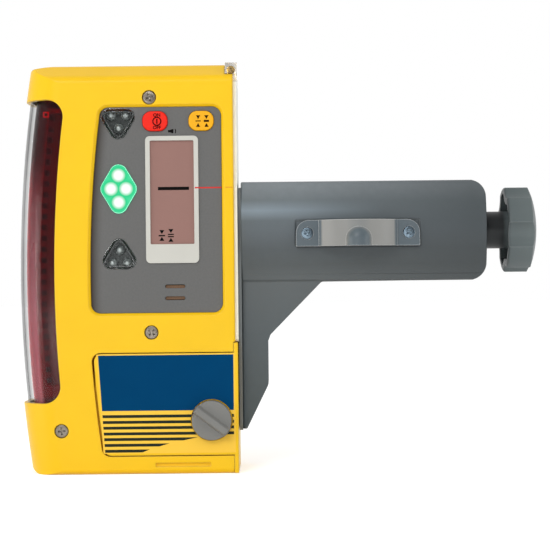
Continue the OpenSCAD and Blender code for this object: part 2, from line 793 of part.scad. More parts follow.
module front_casing() color("gold") placed() {
    difference() {
        union() {
            shell(-over, front_joint);
            intersection() {
                casing_form(wall / 2);
                union() {
                    front_slab(0, panel_back + ledge_t) panel_outline(2);
                    box(bay_left - bay_wall, recess_x, 0, front_joint, door_z0, door_z1);
                    box(bay_left - bay_wall, bay_out, 0, bay_floor + bay_wall, door_z0, door_z1);
                    for (s = screw_spots) rod_y(s[0], s[1], 0, front_joint, boss_r);
                    intersection() {
                        corner_seat();
                        depth_range(0, front_joint);
                    }
                }
            }
        }
        front_slab(-over, panel_back) panel_outline(snug);
        hull() {
            front_slab(-over / 10, 0) panel_outline(snug + panel_bevel, $fn = hull_fn);
            front_slab(panel_bevel, panel_bevel + over / 10) panel_outline(snug, $fn = hull_fn);
        }
        front_slab(-over, panel_back + ledge_t + over) panel_outline(-ledge_w);
        front_slab(panel_back - over, panel_back + ledge_t + over) lip_room();
        front_slab(-over, rim_d) door_outline(door_seam, door_left_seam - door_seam);
        front_slab(-over, rim_back + over) bow_panel(door_inset + rim_w, bay_right, door_z0 + rim_w,
            door_z1 - rim_w, door_r - 1, 1);
        box(bay_left, bay_right, rim_back, bay_floor, door_z0 + bay_wall, door_z1 - bay_wall);
        flange_room();
        front_slab(-over, case_d + over) window_outline(0);
        for (z = magnet_zs) rod_x(magnet_d, z, case_right - wall - over, case_right + over,
            magnet_r + running);
        corner_room(snug);
        for (s = screw_spots) {
            rod_y(s[0], s[1], -over, front_joint + over, screw_shank_r + snug);
            rod_y(s[0], s[1], -over, screw_seat_d, screw_head_r + snug);
        }
        box(groove_x0, groove_x1, -over, groove_w / 2, groove_z - groove_w / 2, groove_z + groove_w / 2);
    }
    // posts for the circuit board
    for (p = board_posts) rod_y(p[0], p[1], panel_back, board_d, post_r);
    // lug that takes the thumbscrew, over the right ends of the cells
    difference() {
        box(thumb_x - lug_w, bay_right + over, lug_d0, lug_d1, thumb_z - lug_h / 2, thumb_z + lug_h / 2);
        rod_y(thumb_x, thumb_z, lug_d0 - over, lug_d1 + over, thumb_shank_r + running);
    }
}
module rear_casing() color("gold") placed() difference() {
    union() {
        shell(back_joint, case_d + over);
        intersection() {
            casing_form(wall / 2);
            union() {
                for (s = screw_spots) rod_y(s[0], s[1], back_joint, case_d, boss_r);
                for (z = cell_posts) rod_y(left_at(cell_post_inset, z), z, cell_board_d + board_t, case_d,
                    cell_post_r);
                intersection() {
                    corner_seat();
                    depth_range(back_joint, case_d);
                }
            }
        }
    }
    front_slab(-over, case_d + over) window_outline(0);
    flange_room();
    corner_room(snug);
    for (s = screw_spots) rod_y(s[0], s[1], back_joint - over, screw_tip_d + snug, screw_shank_r + running);
    front_slab(case_d - field_sink, case_d + over) bow_panel(panel_inset, case_right - field_side,
        field_foot, case_h - field_top, field_r, field_r);
}
module casing_gasket() color("dimgray") placed() difference() {
    intersection() {
        difference() {
            casing_form(gasket_in);
            casing_form(wall);
        }
        depth_range(front_joint, back_joint);
    }
    front_slab(0, case_d) window_outline(window_lip);
    flange_room();
    corner_room(snug);
}
module casing_screws() color("silver") placed() for (s = screw_spots) {
    rod_y(s[0], s[1], screw_head_d, screw_seat_d, screw_head_r);
    rod_y(s[0], s[1], screw_seat_d, screw_tip_d, screw_shank_r);
}

// Photocell window

module photocell_window() color([0.85, 0.9, 0.92, 0.4]) placed() {
    difference() {
        intersection() {
            casing_form(window_drop);
            front_slab(-over, case_d + over) window_outline(-snug);
        }
        casing_form(lens_in);
    }
    difference() {
        intersection() {
            casing_form(lip_out);
            front_slab(-over, case_d + over) window_outline(window_lip);
        }
        casing_form(lens_in);
    }
}
module red_filter() color([0.45, 0.04, 0.08, 0.7]) placed() difference() {
    intersection() {
        casing_form(filter_out);
        front_slab(-over, case_d + over) window_outline(filter_side);
    }
    casing_form(filter_in);
}
// band parallel to the bow, between two insets and two heights
module bow_band(i0, i1, z0, z1) difference() {
    arc_panel(bow_c, bow_r - i0, 0, z0, z1, 0, 0);
    translate(bow_c) circle(bow_r - i1, $fn = bow_fn);
}
module photocell_board() color("darkgreen") placed()
    front_slab(cell_board_d, cell_board_d + board_t)
        bow_band(cell_board_inset, cell_board_far, cell_board_z0, cell_board_z1);
module photocells() color("black") placed() for (k = [0:cell_count - 1]) {
    z = cell_mid_z + (k - (cell_count - 1) / 2) * photocell_pitch;
    x = left_at(cell_board_inset, z) + cell_edge;
    box(x, x + photocell_w, cell_board_d - cell_d, cell_board_d, z - photocell_h / 2, z + photocell_h / 2);
}

// Control panel

module control_panel() color("gray") placed() front_slab(panel_drop, panel_back) difference() {
    panel_outline(0);
    rounded(bezel_pts, bezel_r, snug - bezel_skirt);
    for (pts = [upper_lamp, centre_lamp, lower_lamp]) rounded(pts, lamp_r, snug);
    for (spot = keys) key_outline(spot, key_play);
    for (s = [-1, 1]) {
        z = beeper_z + s * slot_gap / 2;
        rounded(rect(beeper_x - slot_w / 2, beeper_x + slot_w / 2, z - slot_r, z + slot_r), slot_r - 0.05);
    }
}
module display_bezel() color("lightgray") placed() difference() {
    union() {
        front_slab(bezel_front, panel_drop) rounded(bezel_pts, bezel_r);
        front_slab(panel_drop, bezel_back) rounded(bezel_pts, bezel_r, -bezel_skirt);
    }
    front_slab(bezel_front - over, glass_d) rounded(view_pts, 0.5);
    front_slab(glass_d - snug, bezel_back + over) rounded(view_pts, 0.3, glass_lap + snug);
}
module display_glass() color("rosybrown") placed()
    front_slab(glass_d, glass_d + glass_t) rounded(view_pts, 0.3, glass_lap);
module lamp_lens(pts) placed() difference() {
    union() {
        front_slab(lamp_front, panel_back) rounded(pts, lamp_r);
        front_slab(panel_back, panel_back + lamp_lip_t) rounded(pts, lamp_r, lamp_lip);
    }
    front_slab(lamp_front + lamp_skin, panel_back + lamp_lip_t + over) rounded(pts, lamp_r, -lamp_skin);
}
module upper_lamp_lens() color([0.6, 0.65, 0.65, 0.5]) lamp_lens(upper_lamp);
module centre_lamp_lens() color([0.2, 0.9, 0.5, 0.6]) lamp_lens(centre_lamp);
module lower_lamp_lens() color([0.6, 0.65, 0.65, 0.5]) lamp_lens(lower_lamp);
module led(x, z) placed() {
    rod_y(x, z, led_tip + led_r, board_d, led_r);
    translate([x, led_tip + led_r, z]) sphere(led_r);
}
// three diodes behind a lamp whose flat side is at height z, with the third towards s
module led_trio(z, s) {
    for (k = [-1, 1]) led(lamp_x + k * led_pitch / 2, z + s * led_row);
    led(lamp_x, z + s * (led_row + led_drop));
}
module upper_leds() color("whitesmoke") led_trio(grade_z + lamp_reach, -1);
module lower_leds() color("whitesmoke") led_trio(grade_z - lamp_reach, 1);
module centre_leds() color("honeydew") {
    for (k = [-1, 1]) {
        led(lamp_x + k * led_pitch / 2, grade_z);
        led(lamp_x, grade_z + k * led_drop);
    }
}
module key(spot) placed() {
    front_slab(key_front, panel_back + snug) key_outline(spot, 0);
    front_slab(panel_back + snug, panel_back + snug + key_lip_t) key_outline(spot, key_lip);
    rod_y(spot[0], spot[1], panel_back + snug + key_lip_t, switch_d - key_gap, key_stem_r);
}
module power_key() color("red") key(keys[0]);
module deadband_key() color("orange") key(keys[1]);
module key_switches() color("black") placed() for (s = keys)
    box(s[0] - switch_w / 2, s[0] + switch_w / 2, switch_d, board_d,
        s[1] - switch_w / 2, s[1] + switch_w / 2);
module main_board() color("green") placed() front_slab(board_d, board_d + board_t)
    bow_panel(panel_inset + board_edge, panel_right - board_edge + 0.4, board_z0, board_z1, 2, 2);
module beeper() color("black") placed() difference() {
    rod_y(beeper_x, beeper_z, board_d - beeper_t, board_d, beeper_r);
    rod_y(beeper_x, beeper_z, board_d - beeper_t - over, board_d - beeper_t + 1.5, 1.4);
}

// Battery bay

module battery_door() color("gold") placed() difference() {
    union() {
        front_slab(0, door_t) door_outline(0);
        box(flange_in, door_right, 0, flange_d, snug * 3, flange_z1);
    }
    rod_y(thumb_x, thumb_z, -over, thumb_sink, thumb_r + thumb_room);
    rod_y(thumb_x, thumb_z, 0, door_t + over, thumb_shank_r + running);
}
// outline of the door's rim, moved in by w
module seal_band(w) bow_panel(door_inset + w, bay_right + rim_w - w, door_z0 + w, door_z1 - w, door_r, 1);
module door_seal() color("black") placed() front_slab(door_t, rim_d) difference() {
    seal_band(seal_in);
    seal_band(rim_w - seal_in);
}
module door_thumbscrew() color("gray") placed() {
    head = thumb_rise - thumb_bar_rise;
    draft = (thumb_bar_w - thumb_bar_top) / 2 / thumb_bar_rise;
    foot = thumb_bar_w / 2 + draft * head;
    tip = thumb_bar_top / 2 - draft * over;
    rod_y(thumb_x, thumb_z, -head, thumb_sink - snug, thumb_r);
    // finger bar with drafted sides
    intersection() {
        rod_y(thumb_x, thumb_z, -thumb_rise, 0, thumb_r - cross);
        translate([thumb_x, 0, thumb_z]) rotate([0, thumb_bar_turn, 0]) side_slab(-thumb_r, thumb_r)
            polygon([[0, -foot], [0, foot], [-thumb_rise - over, tip], [-thumb_rise - over, -tip]]);
    }
    rod_y(thumb_x, thumb_z, thumb_sink - snug, lug_d1 - 0.4, thumb_shank_r);
}
module thumbscrew_clip() color("silver") placed() difference() {
    rod_y(thumb_x, thumb_z, rim_d - seal_t + snug, rim_d - seal_t + snug + clip_t, thumb_shank_r + clip_w);
    rod_y(thumb_x, thumb_z, 0, rim_d + clip_t + over, thumb_shank_r);
}
// one cell that lies along X, with its button to the right when s is 1
module cell(z, s) {
    body0 = s > 0 ? cell_x0 : cell_x0 + nub_l;
    rod_x(cell_axis_d, z, body0, body0 + cell_l - nub_l, cell_r);
    rod_x(cell_axis_d, z, s > 0 ? cell_x1 - nub_l : cell_x0, s > 0 ? cell_x1 : cell_x0 + nub_l, nub_r);
}
module batteries() color("steelblue") placed() {
    cell(cell_z[0], 1);
    cell(cell_z[1], -1);
}
// a bent leaf from a plate at x, with its point at px
module contact_leaf(x, px, z, s) translate([0, cell_axis_d, 0]) plan_slab(z - leaf_w / 2, z + leaf_w / 2)
    polygon([[x, -leaf_l / 2], [x + s * contact_t, -leaf_l / 2], [px, -contact_t], [px, contact_t],
        [x + s * contact_t, leaf_l / 2], [x, leaf_l / 2], [px - s * contact_t, 0]]);
module battery_contacts() color("silver") placed() {
    box(bay_left, bay_left + contact_t, cell_axis_d - cell_r, cell_axis_d + cell_r,
        cell_z[0] - leaf_l / 2, cell_z[1] + leaf_l / 2);
    for (z = cell_z) {
        contact_leaf(bay_left, cell_x0, z, 1);
        box(bay_right - contact_t, bay_right, cell_axis_d - leaf_l / 2, cell_axis_d + leaf_l / 2,
            z - leaf_l / 2, z + leaf_l / 2);
        contact_leaf(bay_right, cell_x1, z, -1);
    }
}

// Right side of the receiver

module side_plate() color("silver") placed() side_slab(case_right, plate_x1)
    rounded(rect(plate_edge, case_d - plate_edge, plate_z0, plate_z1), plate_r);
module side_magnets() color("dimgray") placed() for (z = magnet_zs)
    rod_x(magnet_d, z, case_right - magnet_l, case_right, magnet_r);
module corner_vial_block() color([0.9, 0.92, 0.95, 0.5]) placed() difference() {
    box(corner_x0, corner_x0 + corner_w, corner_d0, corner_d1, case_h - corner_h, case_h);
    rod_y(corner_x0 + corner_w / 2, case_h - corner_h / 2, corner_d0 + corner_wall, corner_d1 - corner_wall,
        tube_r + running);
}
module corner_vial() color([0.7, 0.9, 0.3, 0.6]) placed()
    rod_y(corner_x0 + corner_w / 2, case_h - corner_h / 2, corner_d0 + corner_wall + snug,
        corner_d1 - corner_wall - snug, tube_r);

// Rod clamp

module beam_section() arc_panel(crown_c, crown_r, beam_back, beam_z0, beam_z1, beam_front_r, beam_back_r);
module beam_bore() {
    arc_panel(crown_c, crown_r - beam_wall, lip_d, beam_z0 + beam_wall, beam_z1 - beam_wall, 0, 0);
    translate([lip_d - over, beam_z - slot_h / 2]) square([beam_wall + 2 * over, slot_h]);
}
// a jaw from depth d0 on, seen from its end
module jaw_section(d0, g = 0) rounded(rect(d0, jaw_end_d, beam_z - jaw_h / 2, beam_z + jaw_h / 2),
    jaw_edge, g);
module clamp_body() color("slategray") placed() difference() {
    union() {
        intersection() {
            side_slab(beam_x0, beam_x1) beam_section();
            front_slab(0, beam_back + over) outline(rect(beam_x0 - over, beam_x1, beam_z0 - cross,
                beam_z1 + cross), [0, beam_corner_r, beam_corner_r, 0]);
        }
        front_slab(leg_front, leg_back) outline(leg_pts, leg_radii);
        side_slab(beam_x0, pad_x0) jaw_section(beam_back - over);
    }
    side_slab(bore_x0, bore_x1) beam_bore();
    // the leg is cored from the back, with two ribs left standing
    difference() {
        front_slab(leg_front + leg_wall, leg_back + over) rounded(core_pts, 0.3, -leg_wall);
        for (k = [1:2]) {
            z = mount_z0 + k * rib_pitch;
            box(beam_x0, beam_x0 + leg_top_w, leg_front, leg_back - leg_wall,
                z - leg_wall / 2, z + leg_wall / 2);
        }
    }
    // bearings of the lead screw
    rod_x(screw_d, beam_z, bore_x0 - pivot_l, bore_x0 + over, pivot_r + running);
    rod_x(screw_d, beam_z, bore_x1 - over, beam_x1 + over, bush_r);
    // flat seat and screw holes of the vial holder
    box(holder_c[0] - holder_w / 2 - snug, holder_c[0] + holder_w / 2 + snug, 0, seat_d,
        holder_z0 - snug, holder_z1 + snug);
    for (s = [-1, 1]) rod_y(holder_c[0] + s * holder_pitch / 2, holder_c[1], 0, holder_tip_d + snug,
        holder_screw_r + running);
    for (p = mount_screw_spots) rod_x(p[0], p[1], beam_x0 - over,
        mount_x0 + mount_screw_l + hole_spare, mount_screw_r + running);
}
module mount_plate() color("dimgray") placed() difference() {
    side_slab(mount_x0, beam_x0) rounded(rect(mount_d0, mount_d1, mount_z0, mount_z1), mount_r);
    for (p = mount_screw_spots) {
        rod_x(p[0], p[1], mount_x0 - over, beam_x0 + over, mount_screw_r + running);
        translate([mount_x0, p[0], p[1]]) rotate([0, 90, 0])
            cylinder(r1 = mount_screw_head + running, r2 = mount_screw_r + running, h = mount_cone);
    }
}
module mount_plate_screws() color("silver") placed() for (p = mount_screw_spots) {
    translate([mount_x0, p[0], p[1]]) rotate([0, 90, 0])
        cylinder(r1 = mount_screw_head, r2 = mount_screw_r, h = mount_cone);
    rod_x(p[0], p[1], mount_x0 + mount_cone, mount_x0 + mount_screw_l, mount_screw_r);
}
module vial_holder() color("gray") placed() difference() {
    union() {
        front_slab(holder_front, seat_d) outline(rect(holder_c[0] - holder_w / 2,
            holder_c[0] + holder_w / 2, holder_z0, holder_z1), [0, 0, holder_h / 2, holder_h / 2]);
        // raised body with a bowed front
        plan_slab(holder_z0, holder_z1) intersection() {
            translate([holder_c[0] - vial_body_w / 2, vial_front - over])
                square([vial_body_w, seat_d - vial_front + over]);
            translate([holder_c[0], vial_front + vial_arc_r]) circle(vial_arc_r + body_swell, $fn = bow_fn);
        }
        // round bump with a domed top
        translate([holder_c[0], vial_front - bump_rise + bump_r, holder_z0]) rotate_extrude()
            outline(rect(0, bump_r, 0, holder_h - bump_drop), [0, 0, bump_r - cross, 0]);
    }
    translate([holder_c[0], vial_d, holder_z1 - vial_depth])
        cylinder(r = vial_r + running, h = vial_depth + over);
    for (s = [-1, 1]) {
        x = holder_c[0] + s * holder_pitch / 2;
        rod_y(x, holder_c[1], holder_front - over, seat_d + over, holder_screw_r + running);
        rod_y(x, holder_c[1], holder_front - over, holder_head_d, holder_head_r + snug);
    }
}
module vial_holder_screws() color("silver") placed() for (s = [-1, 1]) {
    x = holder_c[0] + s * holder_pitch / 2;
    rod_y(x, holder_c[1], holder_head_d - holder_head_t, holder_head_d, holder_head_r);
    rod_y(x, holder_c[1], holder_head_d, holder_tip_d, holder_screw_r);
}
module plumb_vial() color([0.75, 0.9, 0.3, 0.7]) placed()
    translate([holder_c[0], vial_d, holder_z1 - vial_depth]) cylinder(r = vial_r, h = vial_depth);
module pad_section() jaw_section(beam_back, -pad_in);
module fixed_jaw_pad() color("black") placed() side_slab(pad_x0, pad_x1) pad_section();
module jaw_pad() color("black") placed() side_slab(jaw_x0, jaw_x1) pad_section();
module sliding_jaw() color("slategray") placed() difference() {
    union() {
        side_slab(carriage_x0, carriage_x0 + carriage_l) rounded(rect(carriage_d0, lip_d - carriage_play,
            beam_z - carriage_h / 2, beam_z + carriage_h / 2), carriage_r);
        side_slab(jaw_x1, jaw_x2) translate([lip_d - over, beam_z - neck_h / 2])
            square([beam_wall + 2 * over, neck_h]);
        side_slab(jaw_x1, jaw_x2) jaw_section(beam_back + 2 * carriage_play);
    }
    rod_x(screw_d, beam_z, carriage_x0 - over, carriage_x0 + carriage_l + over,
        screw_r + screw_room);
    rod_x(screw_d, beam_z, carriage_x0 + carriage_l - nut_l, carriage_x0 + carriage_l + over, nut_r);
}
module jaw_nut() color("goldenrod") placed() difference() {
    rod_x(screw_d, beam_z, carriage_x0 + carriage_l - nut_l, carriage_x0 + carriage_l, nut_r);
    rod_x(screw_d, beam_z, carriage_x0, carriage_x0 + carriage_l + over, screw_r + running);
}
module clamp_screw() color("silver") placed() {
    rod_x(screw_d, beam_z, bore_x0 - pivot_l + pivot_gap, bore_x0 + thread_gap, pivot_r);
    rod_x(screw_d, beam_z, bore_x0 + thread_gap, shoulder_x, screw_r);
    rod_x(screw_d, beam_z, shoulder_x, screw_end_x, journal_r);
}
module screw_bush() color("goldenrod") placed() difference() {
    union() {
        rod_x(screw_d, beam_z, bore_x1, beam_x1, bush_r);
        rod_x(screw_d, beam_z, bore_x1 - bush_flange_t, bore_x1, bush_flange_r);
    }
    rod_x(screw_d, beam_z, bore_x1 - 2 * bush_flange_t, beam_x1 + over, journal_r + running);
}
module thrust_washer() color("silver") placed() difference() {
    rod_x(screw_d, beam_z, beam_x1 + snug / 2, beam_x1 + snug / 2 + washer_t, hub_r - washer_in);
    rod_x(screw_d, beam_z, beam_x1 - over, beam_x1 + washer_t + over, journal_r);
}

// Hand knob

// centres of the hollows between the lobes, about the knob's axis
function hollow_c(k) = let (a = hollow_turn + k * 360 / knob_lobes) hollow_at * [-cos(a), sin(a)];
// lobed outline about the origin, in depth and height, with its side moved in by o
module lobed(o) difference() {
    circle(knob_r - o);
    for (k = [0:knob_lobes - 1]) translate(hollow_c(k)) circle(knob_hollow_r + o);
}
module clamp_knob() color("gray") placed() translate([0, screw_d, beam_z]) difference() {
    union() {
        difference() {
            // turned disc with a domed face, in X and radius
            rotate([0, 90, 0]) rotate_extrude() intersection() {
                outline(rect(0, knob_r, rim_x0, rim_x1 + knob_dome), [0, 1, rim_edge, 0]);
                translate([0, rim_x1 + knob_dome - dome_r]) circle(dome_r, $fn = bow_fn);
            }
            for (k = [0:knob_lobes - 1]) rod_x(hollow_c(k)[0], hollow_c(k)[1], rim_x0 - over,
                rim_x1 + knob_dome + over, knob_hollow_r);
            side_slab(rim_x0 - over, rim_x1 - knob_web) lobed(knob_wall);
        }
        rod_x(0, 0, hub_x0, rim_x1 - knob_web / 2, hub_r);
    }
    rod_x(0, 0, hub_x0 - over, screw_end_x + snug, journal_r + running);
}

front_casing();
rear_casing();
casing_gasket();
casing_screws();
photocell_window();
red_filter();
photocell_board();
photocells();
control_panel();
display_bezel();
display_glass();
upper_lamp_lens();
centre_lamp_lens();
lower_lamp_lens();
upper_leds();
centre_leds();
lower_leds();
power_key();
deadband_key();
key_switches();
main_board();
beeper();
battery_door();
door_seal();
door_thumbscrew();
thumbscrew_clip();
batteries();
battery_contacts();
side_plate();
side_magnets();
corner_vial_block();
corner_vial();
clamp_body();
mount_plate();
mount_plate_screws();
vial_holder();
vial_holder_screws();
plumb_vial();
fixed_jaw_pad();
sliding_jaw();
jaw_nut();
jaw_pad();
clamp_screw();
screw_bush();
thrust_washer();
clamp_knob();
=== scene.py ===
"""Looks of the laser receiver and its rod clamp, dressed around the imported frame."""

from __future__ import annotations

import contextlib
import functools
import logging
import math
from collections.abc import Callable, Iterable, Iterator, Sequence
from dataclasses import dataclass, field
from enum import Enum
from typing import Union

import bpy
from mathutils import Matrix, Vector

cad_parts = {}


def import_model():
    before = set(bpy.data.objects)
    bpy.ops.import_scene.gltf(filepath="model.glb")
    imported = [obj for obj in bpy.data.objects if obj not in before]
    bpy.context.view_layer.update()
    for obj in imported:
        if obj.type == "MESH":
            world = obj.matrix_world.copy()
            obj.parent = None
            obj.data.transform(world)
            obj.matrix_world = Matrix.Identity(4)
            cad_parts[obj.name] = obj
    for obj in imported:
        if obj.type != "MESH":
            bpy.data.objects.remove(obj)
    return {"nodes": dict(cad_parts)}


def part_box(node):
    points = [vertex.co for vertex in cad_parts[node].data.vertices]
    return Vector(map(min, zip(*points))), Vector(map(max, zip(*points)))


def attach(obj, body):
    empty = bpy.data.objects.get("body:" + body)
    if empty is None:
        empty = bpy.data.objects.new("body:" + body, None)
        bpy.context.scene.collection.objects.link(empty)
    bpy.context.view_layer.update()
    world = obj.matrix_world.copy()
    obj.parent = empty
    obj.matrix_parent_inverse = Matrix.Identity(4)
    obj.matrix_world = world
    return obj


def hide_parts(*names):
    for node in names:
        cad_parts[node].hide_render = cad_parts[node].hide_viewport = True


LOG = logging.getLogger("receiver")

Pair = tuple[float, float]
Triple = tuple[float, float, float]
Colour = Triple
Object = bpy.types.Object
Socket = bpy.types.NodeSocket
Tone = Union[Socket, Colour]
Feed = Union[Socket, Triple, float, None]
CornerTest = Callable[[Vector], bool]

# Sizes are written in mm, and MM turns them into metres
MM = 0.001
# Middle of the casing's bowed side in X and Z
BOW = (524.6, 87.3)
# Turn of a primitive that points to the front
FRONT = (math.pi / 2, 0.0, 0.0)
# Edges sharper than these angles are bevelled, or stay sharp in the shading
BEVEL_ANGLE = math.radians(30)
SHARP_ANGLE = math.radians(32)
# Merging and flattening of a copied CAD mesh
MERGE_GAP = 0.0005 * MM
FLAT_ANGLE = math.radians(0.2)
# Range in which most of a noise lies
NOISE_RANGE = (0.3, 0.7)
# Cosines of the turn of the normal between which the painted highlight on an edge goes from full to none
EDGE_RANGE = (0.8, 0.99)
# Shares by which handling and brushing vary a roughness, and the size of handling marks beside the mottling
HANDLED, BRUSHING, HANDLED_SIZE = 0.15, 0.4, 0.6
GRAIN_STRENGTH = 0.6
# Height of a capital as a share of the lettering's size, and boldness as a share of that height
CAPITALS, BOLDNESS = 0.7, 0.045
# A face looks to the front below this normal, and an edge runs along Y within this gap
FACING, ALONG_GAP = -0.9, 0.001 * MM
BLACK, WHITE = (0.0, 0.0, 0.0), (1.0, 1.0, 1.0)


class Body(Enum):
    """Bodies of the frame that a piece can ride on."""

    RECEIVER = "receiver"
    POWER_KEY = "power_key"
    DEADBAND_KEY = "deadband_key"
    DOOR = "battery_door"
    THUMBSCREW = "thumbscrew"
    CLAMP = "rod_clamp"
    JAW = "jaw"


def screen(*channels: int) -> Colour:
    """Turns red, green and blue as a screen shows them, 0 to 255, into linear light."""
    shares = (value / 255 for value in channels)
    return tuple(share / 12.92 if share <= 0.04045 else ((share + 0.055) / 1.055) ** 2.4 for share in shares)


def shaded(colour: Colour, share: float) -> Colour:
    """A colour made darker or lighter by a share."""
    return colour[0] * share, colour[1] * share, colour[2] * share


def tones(*bands: tuple[float, int, int, int]) -> tuple[tuple[float, Colour], ...]:
    """Places in mm, each with the colour that a screen shows there."""
    return tuple((band[0], screen(*band[1:])) for band in bands)


def point(x: float, y: float, z: float) -> Vector:
    """A point in metres from one in mm."""
    return Vector((x, y, z)) * MM


# Finishes


class Nodes:
    """The nodes of a material or a world, with the forms that the finishes are made of."""

    def __init__(self, owner: bpy.types.Material | bpy.types.World, shader: str = "Principled BSDF") -> None:
        """Takes up the nodes of a new material or world.

        Args:
            owner: the material or world.
            shader: name of its shader node.
        """
        owner.use_nodes = True
        self.tree = owner.node_tree
        self.shader = self.tree.nodes[shader]

    @functools.cached_property
    def place(self) -> Socket:
        """The place on the piece."""
        return self.put("TexCoord").outputs["Object"]

    def feed(self, socket: Socket, value: Feed) -> None:
        """Feeds a socket.

        Args:
            socket: the socket.
            value: another socket or a plain value, and None leaves the socket as it is.
        """
        if isinstance(value, Socket):
            self.tree.links.new(value, socket)
        elif value is not None:
            socket.default_value = (*value, 1) if socket.type == "RGBA" else value

    def give(self, name: str, value: Feed) -> None:
        """Feeds one of the shader's sockets."""
        self.feed(self.shader.inputs[name], value)

    def put(self, kind: str, *feeds: tuple[str | int, Feed], **settings: str | int) -> bpy.types.Node:
        """Adds a node.

        Args:
            kind: its type.
            feeds: its sockets, each with what is fed to it.
            settings: its properties.

        Returns:
            The node.
        """
        node = self.tree.nodes.new("ShaderNode" + kind)
        for key, value in settings.items():
            setattr(node, key, value)
        for key, value in feeds:
            self.feed(node.inputs[key], value)
        return node

    def math(self, operation: str, one: Feed, two: Feed) -> Socket:
        """Reckons with two numbers."""
        return self.put("Math", (0, one), (1, two), operation=operation).outputs["Value"]

    def vector(self, operation: str, one: Feed, two: Feed) -> bpy.types.NodeOutputs:
        """Reckons with two vectors."""
        return self.put("VectorMath", (0, one), (1, two), operation=operation).outputs

    def part(self, axis: str, vector: Socket) -> Socket:
        """One part of a vector: X, Y or Z."""
        return self.put("SeparateXYZ", ("Vector", vector)).outputs[axis]

    def gap(self, spot: Pair) -> Socket:
        """Distance from a spot in X and Z, which is in mm."""
        flat = self.vector("MULTIPLY", self.place, (1, 0, 1))["Vector"]
        return self.vector("DISTANCE", flat, (spot[0] * MM, 0, spot[1] * MM))["Value"]

    def noise(self, place: Socket, size: float, detail: int) -> Socket:
        """A noise with features of a size in mm."""
        feeds = ("Vector", place), ("Scale", 1 / (size * MM)), ("Detail", detail)
        return self.put("TexNoise", *feeds).outputs["Fac"]

    def span(self, value: Socket, ends: Pair, result: Pair = (0, 1)) -> Socket:
        """Maps a value from one range to another, held at its ends."""
        feeds = zip(("Value", "From Min", "From Max", "To Min", "To Max"), (value, *ends, *result))
        return self.put("MapRange", *feeds).outputs["Result"]

    def stretch(self, value: Socket, ends: Pair, result: Pair = (0, 1)) -> Socket:
        """Maps a length from a range in mm to another range, held at its ends."""
        return self.span(value, (ends[0] * MM, ends[1] * MM), result)

    def blend(self, share: Socket, base: Tone, over: Colour) -> Socket:
        """Lays a colour over another by a share that varies."""
        return self.put("Mix", ("Factor", share), (6, base), (7, over), data_type="RGBA").outputs[2]

    def ramp(self, value: Socket, stops: Sequence[tuple[float, Colour]]) -> Socket:
        """Colours a value by stops.

        Args:
            value: the value, 0 to 1.
            stops: values in order, each with its colour.

        Returns:
            The colour.
        """
        node = self.put("ValToRGB", ("Fac", value))
        marks = node.color_ramp.elements
        for mark, (spot, colour) in zip(marks, (stops[0], stops[-1])):
            mark.position, mark.color = spot, (*colour, 1)
        for spot, colour in stops[1:-1]:
            marks.new(spot).color = (*colour, 1)
        return node.outputs["Color"]

    def bands(self, value: Socket, places: Sequence[tuple[float, Colour]]) -> Socket:
        """Colours a length by places along it.

        Args:
            value: the length.
            places: lengths in mm in order, each with its colour.

        Returns:
            The colour.
        """
        first, last = places[0][0], places[-1][0]
        stops = [((spot - first) / (last - first), colour) for spot, colour in places]
        return self.ramp(self.stretch(value, (first, last)), stops)

    def rounded(self, radius: float) -> Socket:
        """Normals that run smoothly over edges, to a radius in mm."""
        return self.put("Bevel", ("Radius", radius * MM), samples=6).outputs["Normal"]


